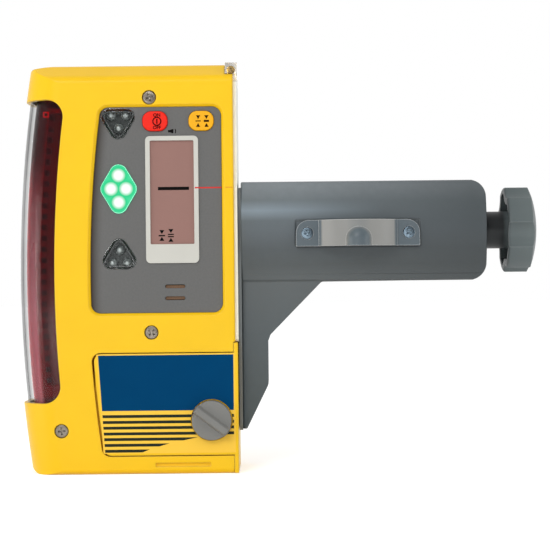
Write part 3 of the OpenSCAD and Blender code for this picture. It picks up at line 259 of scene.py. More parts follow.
@dataclass(frozen=True)
class Finish:
    """A surface with a colour that varies a little, a gloss and a fine grain, sizes in mm.

    Attributes:
        name: name of the material.
        colour: middle colour in linear light.
        roughness: middle roughness.
        metallic: 1 for bare metal.
        mottle: share by which the colour varies.
        mottle_size: size of the mottling.
        grain: height of the grain.
        grain_size: size of the grain.
        coat: weight of a clear coat.
        specular: level of the mirror part of a plastic.
        round: radius to which a moulded edge looks rounded.
        rim: share of painted highlight that pales such an edge.
        highlight_colour: colour of that painted highlight.
    """

    name: str
    colour: Colour
    roughness: float = 0.45
    metallic: float = 0.0
    mottle: float = 0.05
    mottle_size: float = 14.0
    grain: float = 0.006
    grain_size: float = 0.35
    coat: float = 0.0
    specular: float = 0.5
    round: float = 0.0
    rim: float = 0.0
    highlight_colour: Colour = (0.8, 0.82, 0.82)

    def material(self) -> bpy.types.Material:
        """Makes the material, or finds it if it was made before.

        Returns:
            The material.
        """
        label = self.name + "_finish"
        made = bpy.data.materials.get(label)
        if not made:
            made = bpy.data.materials.new(label)
            nodes = Nodes(made)
            nodes.give("Metallic", self.metallic)
            nodes.give("Coat Weight", self.coat)
            nodes.give("Specular IOR Level", self.specular)
            nodes.give("Base Color", self.highlight_edges(nodes, self.paint(nodes)))
            nodes.give("Roughness", self.gloss(nodes))
            nodes.give("Normal", self.relief(nodes))
            self.extras(nodes)
        return made

    def paint(self, nodes: Nodes) -> Tone:
        """Colours the surface, a little lighter here and darker there.

        Args:
            nodes: the material's nodes.

        Returns:
            The colour.
        """
        if not self.mottle:
            return self.colour
        ends = shaded(self.colour, 1 - self.mottle), shaded(self.colour, 1 + self.mottle)
        return nodes.ramp(self.mottling(nodes), tuple(zip(NOISE_RANGE, ends)))

    def mottling(self, nodes: Nodes) -> Socket:
        """The noise that the colour follows."""
        return nodes.noise(nodes.place, self.mottle_size, detail=4)

    def highlight_edges(self, nodes: Nodes, colour: Tone) -> Tone:
        """Paints a pale highlight along the moulded edges.

        Args:
            nodes: the material's nodes.
            colour: the colour.

        Returns:
            The colour with a painted highlight on its edges.
        """
        if not self.rim:
            return colour
        normal = nodes.put("NewGeometry").outputs["Normal"]
        turn = nodes.vector("DOT_PRODUCT", nodes.rounded(self.round), normal)["Value"]
        # painted highlight: the pale colour is laid where the rounded normal turns from the true one
        return nodes.blend(nodes.span(turn, EDGE_RANGE, (self.rim, 0)), colour, self.highlight_colour)

    def gloss(self, nodes: Nodes) -> Socket:
        """A roughness that varies a little, as handling does."""
        noise = nodes.noise(nodes.place, self.mottle_size * HANDLED_SIZE, detail=5)
        return nodes.span(noise, (0, 1), (self.roughness * (1 - HANDLED), self.roughness * (1 + HANDLED)))

    def relief(self, nodes: Nodes) -> Socket | None:
        """Gives the surface its soft edges and its fine grain.

        Args:
            nodes: the material's nodes.

        Returns:
            The normal, or None where the surface is plain.
        """
        normal = nodes.rounded(self.round) if self.round else None
        if not self.grain:
            return normal
        feeds = ("Strength", GRAIN_STRENGTH), ("Distance", self.grain * MM), ("Normal", normal)
        height = nodes.noise(nodes.place, self.grain_size, detail=2)
        return nodes.put("Bump", ("Height", height), *feeds).outputs["Normal"]

    def extras(self, nodes: Nodes) -> None:
        """Room for what a special finish adds."""


@dataclass(frozen=True)
class Sheet(Finish):
    """A thin clear moulding that tints what is seen straight through it.

    Attributes:
        tint: what one skin lets through.
    """

    mottle: float = 0.0
    grain: float = 0.0
    tint: Colour = (0.95, 0.95, 0.95)

    def extras(self, nodes: Nodes) -> None:
        """Adds the light that comes straight through to the gloss of the skin.

        Args:
            nodes: the material's nodes.
        """
        through = nodes.put("BsdfTransparent", ("Color", self.tinted(nodes)))
        both = nodes.put("AddShader", (0, nodes.shader.outputs["BSDF"]), (1, through.outputs["BSDF"]))
        nodes.feed(nodes.tree.nodes["Material Output"].inputs["Surface"], both.outputs["Shader"])

    def tinted(self, nodes: Nodes) -> Tone:
        """The tint, the same all over."""
        return self.tint


@dataclass(frozen=True)
class Bowed(Sheet):
    """A bowed clear moulding with painted dark and light streaks of refraction along its thick outer edge,
    sizes in mm.

    Attributes:
        lines: distances from the bow's middle, each with what the painted streak there lets through.
        uneven: share by which the lines fade in places.
        uneven_size: size of those places.
        uneven_range: range of the noise over which they fade.
    """

    lines: tuple[Pair, ...] = ()
    uneven: float = 0.2
    uneven_size: float = 30.0
    uneven_range: Pair = (0.35, 0.65)

    def tinted(self, nodes: Nodes) -> Tone:
        """Draws the painted refraction streaks into the tint, a little uneven along the bow.

        Args:
            nodes: the material's nodes.

        Returns:
            The tint.
        """
        # painted light: the streaks stand for refraction in the thick edge, drawn as what is let through
        lines = nodes.bands(nodes.gap(BOW), [(spot, shaded(self.tint, share)) for spot, share in self.lines])
        noise = nodes.noise(nodes.place, self.uneven_size, detail=3)
        fade = nodes.span(noise, self.uneven_range, (0, self.uneven))
        return nodes.blend(fade, lines, self.tint)


@dataclass(frozen=True)
class PaintedReflectionFilter(Sheet):
    """A bowed filter with a painted pale reflection along its outer side and painted shade towards its top,
    sizes in mm.

    Attributes:
        painted_reflection: colour of the painted reflection.
        reflection_side: distances from the bow's middle between which the painted reflection starts.
        reflection_z: heights where the painted reflection starts and where it is full.
        painted_shade_side: distances between which the painted shade starts.
        painted_shade_z: heights where the painted shade starts and where it is full.
        dark: how much light the painted shade takes away.
    """

    painted_reflection: Colour = screen(134, 88, 97)
    reflection_side: Pair = (565.2, 567.0)
    reflection_z: Pair = (138.0, 60.0)
    painted_shade_side: Pair = (568.3, 569.5)
    painted_shade_z: Pair = (126.0, 146.0)
    dark: float = 0.75

    def outer(self, nodes: Nodes, side: Pair, heights: Pair, most: float) -> Socket:
        """Share of the outer side that grows to its most between two heights."""
        rise = nodes.stretch(nodes.part("Z", nodes.place), heights, (0, most))
        return nodes.math("MULTIPLY", nodes.stretch(nodes.gap(BOW), side), rise)

    def paint(self, nodes: Nodes) -> Tone:
        """Lays the painted reflection over the filter's colour."""
        share = self.outer(nodes, self.reflection_side, self.reflection_z, 1)
        return nodes.blend(share, super().paint(nodes), self.painted_reflection)

    def tinted(self, nodes: Nodes) -> Tone:
        """Paints shade towards the top of the outer side by taking light away from the tint."""
        return nodes.blend(self.outer(nodes, self.painted_shade_side, self.painted_shade_z, self.dark), self.tint, BLACK)


@dataclass(frozen=True)
class Lit(Finish):
    """A lamp lens that glows, white in front of its diodes, with a painted highlight along its rim, sizes in
    mm.

    Attributes:
        spots: places of the diodes in X and Z.
        glow: colour of the glow between the diodes.
        disc: radius of the disc at a diode.
        disc_edge: shares of it where the white ends and the glow starts.
        reach: distance at which the glow is palest again.
        strength: strength of the glow.
        pale: colour far from the diodes.
    """

    spots: tuple[Pair, ...] = ()
    glow: Colour = screen(44, 208, 138)
    disc: float = 2.0
    disc_edge: Pair = (0.85, 1.6)
    reach: float = 6.5
    strength: float = 1.0
    pale: Colour = screen(96, 228, 176)

    def extras(self, nodes: Nodes) -> None:
        """Adds the glow about each diode, or all over where there is none."""
        nodes.give("Emission Strength", self.strength)
        # painted highlight along the rim of the glow
        nodes.give("Emission Color", self.highlight_edges(nodes, self.glowing(nodes)) if self.spots else self.colour)

    def glowing(self, nodes: Nodes) -> Socket:
        """Colours the glow by the distance from the nearest diode.

        Args:
            nodes: the material's nodes.

        Returns:
            The colour.
        """
        near = functools.reduce(functools.partial(nodes.math, "MINIMUM"), map(nodes.gap, self.spots))
        inner, outer = (self.disc / self.reach * share for share in self.disc_edge)
        stops = (inner, WHITE), (outer, self.glow), (1.0, self.pale)
        return nodes.ramp(nodes.stretch(near, (0, self.reach)), stops)


@dataclass(frozen=True)
class EdgeShadedPanel(Finish):
    """A panel with a band of painted shade along its bowed side, sizes in mm.

    Attributes:
        radius: radius of the bowed side.
        reach: width of the painted shade band.
        fall: power by which the band fades.
        shade: colour of the painted shade at the side itself.
    """

    radius: float = 541.4
    reach: float = 5.5
    fall: float = 1.8
    shade: Colour = screen(40, 27, 18)

    def paint(self, nodes: Nodes) -> Tone:
        """Lays the painted shade band over the panel's colour."""
        band = nodes.stretch(nodes.gap(BOW), (self.radius - self.reach, self.radius))
        return nodes.blend(nodes.math("POWER", band, self.fall), super().paint(nodes), self.shade)


@dataclass(frozen=True)
class Banded(Finish):
    """A moulding with painted light and shade that change along one direction, where its forms catch the
    light.

    Attributes:
        way: the direction in X, Y and Z.
        places: places along it in mm, each with the tone painted there for its light and shade.
    """

    way: Triple = (1.0, 0.0, 0.0)
    places: tuple[tuple[float, Colour], ...] = ()

    def paint(self, nodes: Nodes) -> Tone:
        """Lays the painted light and shade bands over the piece, with its mottling.

        Args:
            nodes: the material's nodes.

        Returns:
            The colour.
        """
        along = nodes.vector("DOT_PRODUCT", nodes.place, self.way)["Value"]
        speck = nodes.span(self.mottling(nodes), NOISE_RANGE, (0, self.mottle * 2))
        return nodes.blend(speck, nodes.bands(along, self.places), self.colour)


@dataclass(frozen=True)
class Beamed(Banded):
    """A banded moulding with painted shade to the right and one painted highlight line, sizes in mm.

    Attributes:
        dark: colour of the painted shade on the right.
        painted_shade_x: where that starts and ends.
        painted_shade_share: how much of the dark colour shows at the end.
        pale: colour of the painted highlight line.
        highlight_x: where the line starts to fade and where it is gone.
        highlight_share: how much of the pale colour shows.
        line: height of the painted highlight line.
        highlight_half: half its width.
    """

    dark: Colour = screen(40, 46, 48)
    painted_shade_x: Pair = (70.0, 152.0)
    painted_shade_share: float = 0.6
    pale: Colour = screen(142, 158, 170)
    highlight_x: Pair = (56.0, 112.0)
    highlight_share: float = 0.55
    line: float = 115.2
    highlight_half: float = 4.6

    def paint(self, nodes: Nodes) -> Tone:
        """Lays the painted shade and the painted highlight line over the bands.

        Args:
            nodes: the material's nodes.

        Returns:
            The colour.
        """
        # painted shade grows to the right, and a painted highlight line runs along at one height
        across, height = nodes.part("X", nodes.place), nodes.part("Z", nodes.place)
        right = nodes.stretch(across, self.painted_shade_x, (0, self.painted_shade_share))
        colour = nodes.blend(right, super().paint(nodes), self.dark)
        share = nodes.stretch(across, self.highlight_x, (self.highlight_share, 0))
        for side in (-self.highlight_half, self.highlight_half):
            share = nodes.math("MULTIPLY", share, nodes.stretch(height, (self.line + side, self.line)))
        return nodes.blend(share, colour, self.pale)


@dataclass(frozen=True)
class Brushed(Finish):
    """Metal with fine marks along one direction.

    Attributes:
        along: stretch of the marks in X, Y and Z.
    """

    roughness: float = 0.35
    metallic: float = 1.0
    grain: float = 0.002
    along: Triple = (1.0, 1.0, 0.03)

    def gloss(self, nodes: Nodes) -> Socket:
        """Draws the brushing into the roughness.

        Args:
            nodes: the material's nodes.

        Returns:
            The roughness.
        """
        marks = nodes.put("Mapping", ("Vector", nodes.place), ("Scale", self.along)).outputs["Vector"]
        noise = nodes.noise(marks, self.grain_size, detail=3)
        return nodes.span(noise, (0, 1), (self.roughness * (1 - BRUSHING), self.roughness * (1 + BRUSHING)))


@dataclass(frozen=True)
class Printed(Finish):
    """A dull ink or a printed sheet."""

    roughness: float = 0.6
    grain: float = 0.0
    specular: float = 0.05


# The yellow casing has a painted pale highlight along its moulded edges.
YELLOW = Finish("casing_yellow", screen(240, 192, 8), roughness=0.36, mottle=0.02, grain=0.004,
                grain_size=0.5, specular=0.28, round=0.9, rim=0.14, highlight_colour=screen(255, 232, 140))
# The panel has a band of painted shade along its bowed side.
PANEL = EdgeShadedPanel("panel_grey", screen(98, 98, 97), roughness=0.55, mottle_size=0.9, grain=0.012, specular=0.3,
               round=0.3)
BEZEL = Finish("bezel_pale_grey", screen(196, 195, 187), mottle=0.02, specular=0.35, round=0.25)
# The clamp has painted light and shade up its height, painted shade to the right, a painted highlight line
# and painted highlights on its edges.
CLAMP = Beamed("clamp_grey", screen(82, 91, 94), roughness=0.48, mottle=0.09, mottle_size=3, grain=0.02,
               grain_size=0.55, specular=0.45, rim=0.16, round=0.6, way=(0.0, 0.0, 1.0),
               places=tones((18.0, 62, 71, 72), (55.0, 76, 84, 87), (85.0, 88, 93, 94), (91.0, 74, 79, 80),
                            (98.0, 72, 78, 81), (107.0, 88, 96, 101), (119.0, 96, 105, 109),
                            (126.0, 120, 127, 131)))
# The vial holder has painted light on its raised body, painted shade on its plate and bump, and painted
# highlights on its edges.
HOLDER = Banded("holder_grey", screen(110, 112, 110), roughness=0.4, grain=0.01, rim=0.8, round=0.5,
                way=(0.0, -1.0, 0.0),
                places=tones((16.0, 78, 90, 97), (20.6, 80, 92, 99), (21.4, 140, 140, 137),
                             (26.6, 138, 138, 135), (28.6, 84, 96, 102), (31.0, 78, 90, 98)))
# The knob has painted shade on its hub and under its rim, a little lighter to the right, and painted
# highlights on its edges.
KNOB = Banded("knob_grey", screen(84, 90, 91), roughness=0.42, grain=0.012, specular=0.35, rim=0.14,
              round=0.8, places=tones((158.0, 18, 22, 24), (165.6, 18, 22, 24), (168.0, 86, 95, 96),
                                      (182.0, 98, 107, 107)))
# The thumbscrew has painted highlights along its edges.
THUMB = Finish("thumbscrew_grey", screen(122, 122, 119), specular=0.35, rim=0.1, round=0.4)
# The window's tint carries painted dark and light refraction streaks along its outer edge.
WINDOW = Bowed("window_clear", screen(8, 8, 8), roughness=0.1, specular=0.04, tint=(0.97, 0.97, 0.97),
               lines=((570.3, 1.0), (570.8, 0.95), (571.3, 0.8), (571.6, 0.6), (571.9, 0.12), (572.2, 0.45),
                      (572.7, 0.45), (573.1, 0.45), (573.6, 0.64), (574.1, 0.58), (574.4, 0.45)))
# The filter has a painted pale reflection along its outer side and painted shade towards its top.
FILTER = PaintedReflectionFilter("filter_red", screen(36, 7, 11), roughness=0.14, mottle=0.06, specular=0.14,
                tint=(0.5, 0.03, 0.06))
# The lamp lenses and the corner block have painted highlights along their edges.
LENS = Sheet("lamp_clear", screen(10, 11, 11), roughness=0.06, rim=0.25, round=0.5, tint=(0.94, 0.95, 0.95))
BLOCK = Sheet("block_clear", screen(40, 39, 36), roughness=0.08, specular=0.1, round=0.4, rim=0.1,
              tint=(0.66, 0.65, 0.63))
FLUID = Sheet("vial_fluid", screen(24, 30, 6), roughness=0.05, tint=(0.86, 0.92, 0.4))
AMBER = Sheet("vial_amber", screen(40, 30, 12), roughness=0.05, specular=0.4, tint=(0.93, 0.8, 0.5))
# The diode domes carry painted reflection rings, bright and dark along their depth.
DIODE = Banded("diode_epoxy", screen(150, 156, 153), roughness=0.08, mottle=0.2, mottle_size=0.9, grain=0.03,
               grain_size=0.9, coat=1.0, specular=0.8, way=(0.0, -1.0, 0.0),
               places=tones((15.0, 34, 36, 36), (16.2, 40, 43, 42), (16.8, 128, 133, 131),
                            (17.2, 62, 66, 65), (17.55, 70, 74, 73), (17.8, 190, 196, 193)))
# The glowing lens has a painted highlight along its rim.
GLOW = Lit("lamp_green", screen(6, 60, 36), roughness=0.2, mottle=0.02, grain=0.0, specular=0.3, rim=0.8,
           highlight_colour=screen(190, 255, 232), round=0.5,
           spots=((-7.5, 125.1), (-0.9, 125.1), (-4.2, 131.0), (-4.2, 119.2)))
MARKER = Lit("marker_red", screen(255, 30, 10), roughness=0.3, grain=0.0, strength=1.6)
LAMP_CUP = Finish("lamp_cup_grey", screen(56, 59, 58), roughness=0.22, mottle=0.5, mottle_size=1.6,
                  grain=0.05, grain_size=0.7)
DISPLAY = Finish("display_brown", screen(146, 110, 102), roughness=0.35, mottle=0.02, mottle_size=30,
                 grain=0.0, specular=0.2)
RED_KEY = Finish("key_red", screen(232, 30, 6), roughness=0.42, mottle=0.04, grain=0.004, specular=0.25,
                 round=0.5)
ORANGE_KEY = Finish("key_orange", screen(238, 172, 10), roughness=0.42, mottle=0.04, grain=0.004,
                    specular=0.25)
BOARD = Finish("board_green", screen(24, 70, 44), roughness=0.35, grain=0.0)
CELL_BOARD = Finish("cell_board_pale", screen(232, 222, 218), roughness=0.5, grain=0.0)
DEVICE = Finish("device_black", screen(20, 20, 22))
CLOTH = Finish("sounder_cloth", screen(112, 84, 62), roughness=0.8, mottle=0.15, mottle_size=0.6, grain=0.03)
RUBBER = Finish("black_rubber", screen(34, 34, 35), roughness=0.75, grain=0.02)
CELL = Finish("cell_wrap", screen(60, 90, 140), roughness=0.3)
STEEL = Brushed("screw_steel", screen(160, 157, 152))
CASE_STEEL = Brushed("casing_screw_steel", screen(134, 126, 116))
HOLDER_STEEL = Brushed("holder_screw_steel", screen(112, 128, 140), roughness=0.3)
PLATED = Brushed("plated_steel", screen(244, 244, 232), roughness=0.4, metallic=0.1, grain=0.0)
BRASS = Brushed("turned_brass", screen(205, 170, 100), roughness=0.3, grain=0.006, along=(0.05, 1.0, 1.0))
DARK_STEEL = Finish("dark_steel", screen(106, 110, 111), roughness=0.5, metallic=0.2)
LABEL = Printed("label_pale_yellow", screen(246, 198, 62), roughness=0.5, mottle=0.02, specular=0.3)
INK_BLUE = Printed("ink_blue", screen(0, 62, 104), mottle=0.04, grain=0.002, specular=0.03)
INK_DARK = Printed("ink_dark", screen(38, 46, 36), mottle=0.03, specular=0.08)
INK_BLACK = Printed("ink_black", screen(10, 8, 8))
INK_MAROON = Printed("ink_maroon", screen(62, 4, 3))
INK_BROWN = Printed("ink_brown", screen(50, 28, 4))
INK_RED = Printed("ink_red", screen(205, 40, 34), roughness=0.45, specular=0.3)
INK_FAINT = Printed("ink_faint", screen(222, 150, 26), roughness=0.45, specular=0.3)


# Bench tools


class Bench:
    """The modelling operators, each on one object at a time."""

    @staticmethod
    def pick(obj: Object) -> None:
        """Selects one object alone and makes it active.

        Args:
            obj: the object.
        """
        bpy.ops.object.select_all(action="DESELECT")
        obj.select_set(True)
        bpy.context.view_layer.objects.active = obj

    @staticmethod
    @contextlib.contextmanager
    def editing(obj: Object, mode: str = "FACE") -> Iterator[None]:
        """Opens an object in edit mode with everything selected.

        Args:
            obj: the object.
            mode: what is selected: VERT, EDGE or FACE.
        """
        Bench.pick(obj)
        bpy.ops.object.mode_set(mode="EDIT")
        bpy.ops.mesh.select_mode(type=mode)
        bpy.ops.mesh.select_all(action="SELECT")
        yield
        bpy.ops.object.mode_set(mode="OBJECT")

    @staticmethod
    @contextlib.contextmanager
    def choosing() -> Iterator[None]:
        """Leaves edit mode for a moment, with nothing selected, to select in code."""
        bpy.ops.mesh.select_all(action="DESELECT")
        bpy.ops.object.mode_set(mode="OBJECT")
        yield
        bpy.ops.object.mode_set(mode="EDIT")

    @staticmethod
    def choose_front(obj: Object) -> None:
        """Selects the faces that look to the front, in edit mode.

        Args:
            obj: the object in edit mode.
        """
        with Bench.choosing():
            for face in obj.data.polygons:
                face.select = face.normal.y < FACING

    @staticmethod
    def place(obj: Object) -> None:
        """Puts an object's place, turn and scale into its mesh."""
        Bench.pick(obj)
        bpy.ops.object.transform_apply(location=True, rotation=True, scale=True)

    @staticmethod
    def modify(obj: Object, kind: str, **settings: object) -> None:
        """Adds a modifier and applies it.

        Args:
            obj: the object.
            kind: the modifier's type.
            settings: its properties.
        """
        Bench.pick(obj)
        modifier = obj.modifiers.new(kind.lower(), kind)
        for key, value in settings.items():
            setattr(modifier, key, value)
        bpy.ops.object.modifier_apply(modifier=modifier.name)

    @staticmethod
    def smooth(obj: Object) -> None:
        """Shades smooth, with sharp edges kept."""
        Bench.pick(obj)
        bpy.ops.object.shade_smooth_by_angle(angle=SHARP_ANGLE)

    @staticmethod
    def add(operator: Callable[..., set[str]], **settings: object) -> Object:
        """Adds an object with nothing else selected.

        Args:
            operator: the operator that adds it.
            settings: what the operator takes.

        Returns:
            The object.
        """
        bpy.ops.object.select_all(action="DESELECT")
        operator(**settings)
        return bpy.context.active_object

    @staticmethod
    def block(name: str, low: Vector, high: Vector) -> Object:
        """A block between two corners.

        Args:
            name: the object's name.
            low: its lowest corner.
            high: its highest corner.

        Returns:
            The block, with its place in its mesh.
        """
        obj = Bench.add(bpy.ops.mesh.primitive_cube_add, size=1, location=(low + high) / 2)
        obj.name = name
        obj.scale = high - low
        Bench.place(obj)
        return obj

    @staticmethod
    def bore(centre: Vector, radius: float, length: float, sides: int) -> Object:
        """A cutter for a round hole that faces the front.

        Args:
            centre: its middle.
            radius: its radius, in mm.
            length: its length, in mm.
            sides: facets round it.

        Returns:
            The cutter, with its place in its mesh.
        """
        obj = Bench.add(bpy.ops.mesh.primitive_cylinder_add, vertices=sides, radius=radius * MM,
                        depth=length * MM, location=centre, rotation=FRONT)
        Bench.place(obj)
        return obj

    @staticmethod
    def soften(obj: Object, width: float, segments: int = 2) -> None:
        """Rounds the sharp edges by a bevel.

        Args:
            obj: the object.
            width: width of the bevel, in mm.
            segments: steps across it.
        """
        Bench.modify(obj, "BEVEL", width=width * MM, segments=segments, limit_method="ANGLE",
                     angle_limit=BEVEL_ANGLE, use_clamp_overlap=False, miter_outer="MITER_ARC")
        Bench.smooth(obj)
        Bench.modify(obj, "WEIGHTED_NORMAL", keep_sharp=True, weight=100)

    @staticmethod
    def slice(obj: Object, spot: Vector, way: Vector) -> None:
        """Cuts away what lies beyond a plane and closes the cut.

        Args:
            obj: the object.
            spot: a point of the plane, in mm.
            way: the direction in which the object is cut away.
        """
        with Bench.editing(obj):
            bpy.ops.mesh.bisect(plane_co=spot * MM, plane_no=way.normalized(), use_fill=True,
                                clear_outer=True)

    @staticmethod
    def round_corners(obj: Object, radius: float, test: CornerTest = lambda corner: True) -> None:
        """Rounds the corners of a flat piece that faces the front.

        Args:
            obj: the piece.
            radius: radius of the corners, in mm.
            test: takes the place of a corner and says if it is rounded.
        """
        points = obj.data.vertices
        with Bench.editing(obj, "EDGE"):
            with Bench.choosing():
                for edge in obj.data.edges:
                    one, two = (points[index].co for index in edge.vertices)
                    edge.select = abs(one.x - two.x) + abs(one.z - two.z) < ALONG_GAP and test(one)
            bpy.ops.mesh.bevel(offset=radius * MM, segments=6, affect="EDGES")

    @staticmethod
    def cut(obj: Object, cutter: Object) -> None:
        """Cuts one object out of another and removes the cutter."""
        Bench.modify(obj, "BOOLEAN", operation="DIFFERENCE", solver="EXACT", object=cutter)
        bpy.data.objects.remove(cutter)

    @staticmethod
    def join(parts: list[Object]) -> Object:
        """Joins objects into one mesh.

        Args:
            parts: the objects, of which the first is kept.

        Returns:
            The joined object.
        """
        Bench.pick(parts[0])
        for part in parts[1:]:
            part.select_set(True)
        if len(parts) > 1:
            bpy.ops.object.join()
        return parts[0]

    @staticmethod
    def twin(obj: Object, name: str) -> Object:
        """A copy of an object with a mesh of its own.

        Args:
            obj: the object.
            name: name of the copy.

        Returns:
            The copy.
        """
        copy = bpy.data.objects.new(name, obj.data.copy())
        bpy.context.scene.collection.objects.link(copy)
        return copy

    @staticmethod
    def wear(obj: Object, finish: Finish) -> None:
        """Gives a piece one finish all over."""
        obj.data.materials.clear()
        obj.data.materials.append(finish.material())

    @staticmethod
    def settle(obj: Object, finish: Finish, body: Body, *nodes: str) -> None:
        """Dresses a finished piece, which rides on a body and stands for CAD nodes.

        Args:
            obj: the piece.
            finish: its finish.
            body: the body.
            nodes: CAD nodes that it stands for.
        """
        Bench.wear(obj, finish)
        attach(obj, body.value)
        if nodes:
            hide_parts(*nodes)
        LOG.info("%s rides on %s, %d faces", obj.name, body.value, len(obj.data.polygons))


@dataclass
class Frame:
    """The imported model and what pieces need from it."""

    nodes: dict[str, Object]

    def front(self, node: str) -> float:
        """Depth of a node's front, in mm."""
        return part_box(node)[0].y / MM

    def back(self, node: str) -> float:
        """Depth of a node's back, in mm."""
        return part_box(node)[1].y / MM

    def right(self, node: str) -> float:
        """Right side of a node, in mm."""
        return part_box(node)[1].x / MM

    def middle(self, node: str) -> Vector:
        """Middle of a node's box, in mm."""
        low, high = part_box(node)
        return (low + high) / 2 / MM

    def dress(self, finish: Finish, *names: str) -> None:
        """Gives CAD nodes a finish.

        Args:
            finish: the finish.
            names: the nodes.
        """
        for name in names:
            Bench.wear(self.nodes[name], finish)
            LOG.info("dressed %s in %s", name, finish.name)

    def copy(self, node: str, name: str, width: float, segments: int) -> Object:
        """Copies a node's mesh as one closed skin with rounded edges.

        Args:
            node: the CAD node.
            name: name of the copy.
            width: width of the rounded edges, in mm.
            segments: steps across an edge.

        Returns:
            The copy, which rides on nothing yet.
        """
        obj = Bench.twin(self.nodes[node], name)
        with Bench.editing(obj, "VERT"):
            bpy.ops.mesh.customdata_custom_splitnormals_clear()
            bpy.ops.mesh.remove_doubles(threshold=MERGE_GAP)
            bpy.ops.mesh.dissolve_limited(angle_limit=FLAT_ANGLE)
        Bench.soften(obj, width, segments)
        return obj

    def mould(self, node: str, body: Body, finish: Finish, width: float, segments: int = 2) -> None:
        """Lets a copy with rounded edges stand for a node."""
        Bench.settle(self.copy(node, node + "_moulded", width, segments), finish, body, node)


# Printed marks and screw heads


@dataclass
class Ink:
    """Printed marks on one flat front face, in mm.

    Attributes:
        face: depth of the face.
        finish: the ink.
        rise: how far the ink stands proud.
        sunk: how far it starts under the face.
        edge: share of the rise at the edge of a bar.
        parts: the marks made so far.
    """

    face: float
    finish: Finish
    rise: float = 0.05
    sunk: float = 0.02
    edge: float = 0.8
    parts: list[Object] = field(default_factory=list)

    def bar(self, x: float, z: float, wide: float, tall: float) -> Object:
        """A bar that is lower along its edge than in its middle.

        Args:
            x: its middle across.
            z: its middle in height.
            wide: its width.
            tall: its height.

        Returns:
            The bar.
        """
        low = point(x - wide / 2, self.face - self.rise * self.edge, z - tall / 2)
        high = point(x + wide / 2, self.face + self.sunk, z + tall / 2)
        bar = Bench.block("bar", low, high)
        with Bench.editing(bar):
            Bench.choose_front(bar)
            bpy.ops.mesh.inset(thickness=self.rise * MM)
            bpy.ops.transform.translate(value=(0, self.rise * (self.edge - 1) * MM, 0))
        self.parts.append(bar)
        return bar

    def arrow(self, x: float, tip: float, base: float, half: float) -> None:
        """A triangle with its tip above or below its base.

        Args:
            x: place of the tip.
            tip: height of the tip.
            base: height of the base.
            half: half the base's width.
        """
        tall = abs(tip - base)
        part = self.bar(x, (tip + base) / 2, 2 * half, tall)
        for side in (-1, 1):
            normal = Vector((side * tall, 0, math.copysign(half, tip - base)))
            Bench.slice(part, Vector((x + side * half, 0, base)), normal)

    def ring(self, x: float, z: float, radius: float, line: float) -> Object:
        """A flat ring.

        Args:
            x: its middle across.
            z: its middle in height.
            radius: radius of the middle of its line.
            line: width of its line.

        Returns:
            The ring.
        """
        part = Bench.add(bpy.ops.mesh.primitive_torus_add, major_radius=radius * MM,
                         minor_radius=line / 2 * MM, major_segments=40, minor_segments=8,
                         location=self.spot(x, z), rotation=FRONT)
        part.scale = (1, 1, 2 * self.rise / line)
        Bench.place(part)
        self.parts.append(part)
        return part

    def word(self, text: str, x: float, z: float, tall: float) -> None:
        """A word in plain capitals.

        Args:
            text: the word.
            x: its middle across.
            z: its middle in height.
            tall: height of its letters.
        """
        letters = Bench.add(bpy.ops.object.text_add, location=self.spot(x, z), rotation=FRONT).data
        letters.body = text
        letters.size = tall * MM / CAPITALS
        letters.align_x, letters.align_y = "CENTER", "CENTER"
        letters.extrude = self.rise * MM
        letters.offset = BOLDNESS * tall * MM
        bpy.ops.object.convert(target="MESH")
        part = bpy.context.active_object
        Bench.place(part)
        self.parts.append(part)

    def spot(self, x: float, z: float) -> Vector:
        """A spot on the face, in metres."""
        return point(x, self.face, z)

    def lay(self, name: str, body: Body) -> None:
        """Joins the marks into one piece that rides on a body.

        Args:
            name: name of the piece.
            body: the body.
        """
        piece = Bench.join(self.parts)
        piece.name = name
        Bench.settle(piece, self.finish, body)


@dataclass(frozen=True)
class BandSign:
    """Two arrows that point at the bars between them, in mm.

    Attributes:
        x: middle of the sign across.
        upper: heights of the upper arrow's tip and base.
        bars: middles of the bars in height.
        lower: heights of the lower arrow's tip and base.
        half: half the width of an arrow.
        wide: width of a bar.
        thick: height of a bar.
    """

    x: float
    upper: Pair
    bars: tuple[float, ...]
    lower: Pair
    half: float
    wide: float
    thick: float

    def draw(self, ink: Ink) -> None:
        """Draws the sign.

        Args:
            ink: the ink.
        """
        ink.arrow(self.x, *self.upper, self.half)
        for z in self.bars:
            ink.bar(self.x, z, self.wide, self.thick)
        ink.arrow(self.x, *self.lower, self.half)


@dataclass(frozen=True)
class CrossDrive:
    """Screws with rounded heads and a cross recess in each, in mm.

    Attributes:
        span: length of an arm.
        width: width of an arm.
        depth: depth of the recess.
        rim: rounding of the head.
        over: how far the cutter stands out of the head.
    """

    span: float
    width: float
    depth: float
    rim: float
    over: float = 0.5

    def heads(self, frame: Frame, node: str, name: str, spots: Iterable[Triple]) -> Object:
        """Copies screws that face the front, and cuts a recess into each head.

        Args:
            frame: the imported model.
            node: the CAD node of the screws.
            name: name of the copy.
            spots: middle of each head in X and Z, with the turn of its cross in degrees.

        Returns:
            The copy, which rides on nothing yet.
        """
        screws = frame.copy(node, name, self.rim, 3)
        half = Vector((self.span, self.depth + self.over, self.width)) / 2 * MM
        for x, z, degrees in spots:
            middle = point(x, frame.front(node) + (self.depth - self.over) / 2, z)
            for turn in (degrees, degrees + 90):
                arm = Bench.block("arm", middle - half, middle + half)
                with Bench.editing(arm):
                    bpy.ops.transform.rotate(value=math.radians(turn), orient_axis="Y",
                                             center_override=middle)
                Bench.cut(screws, arm)
        Bench.smooth(screws)
        return screws


# Sub-assemblies


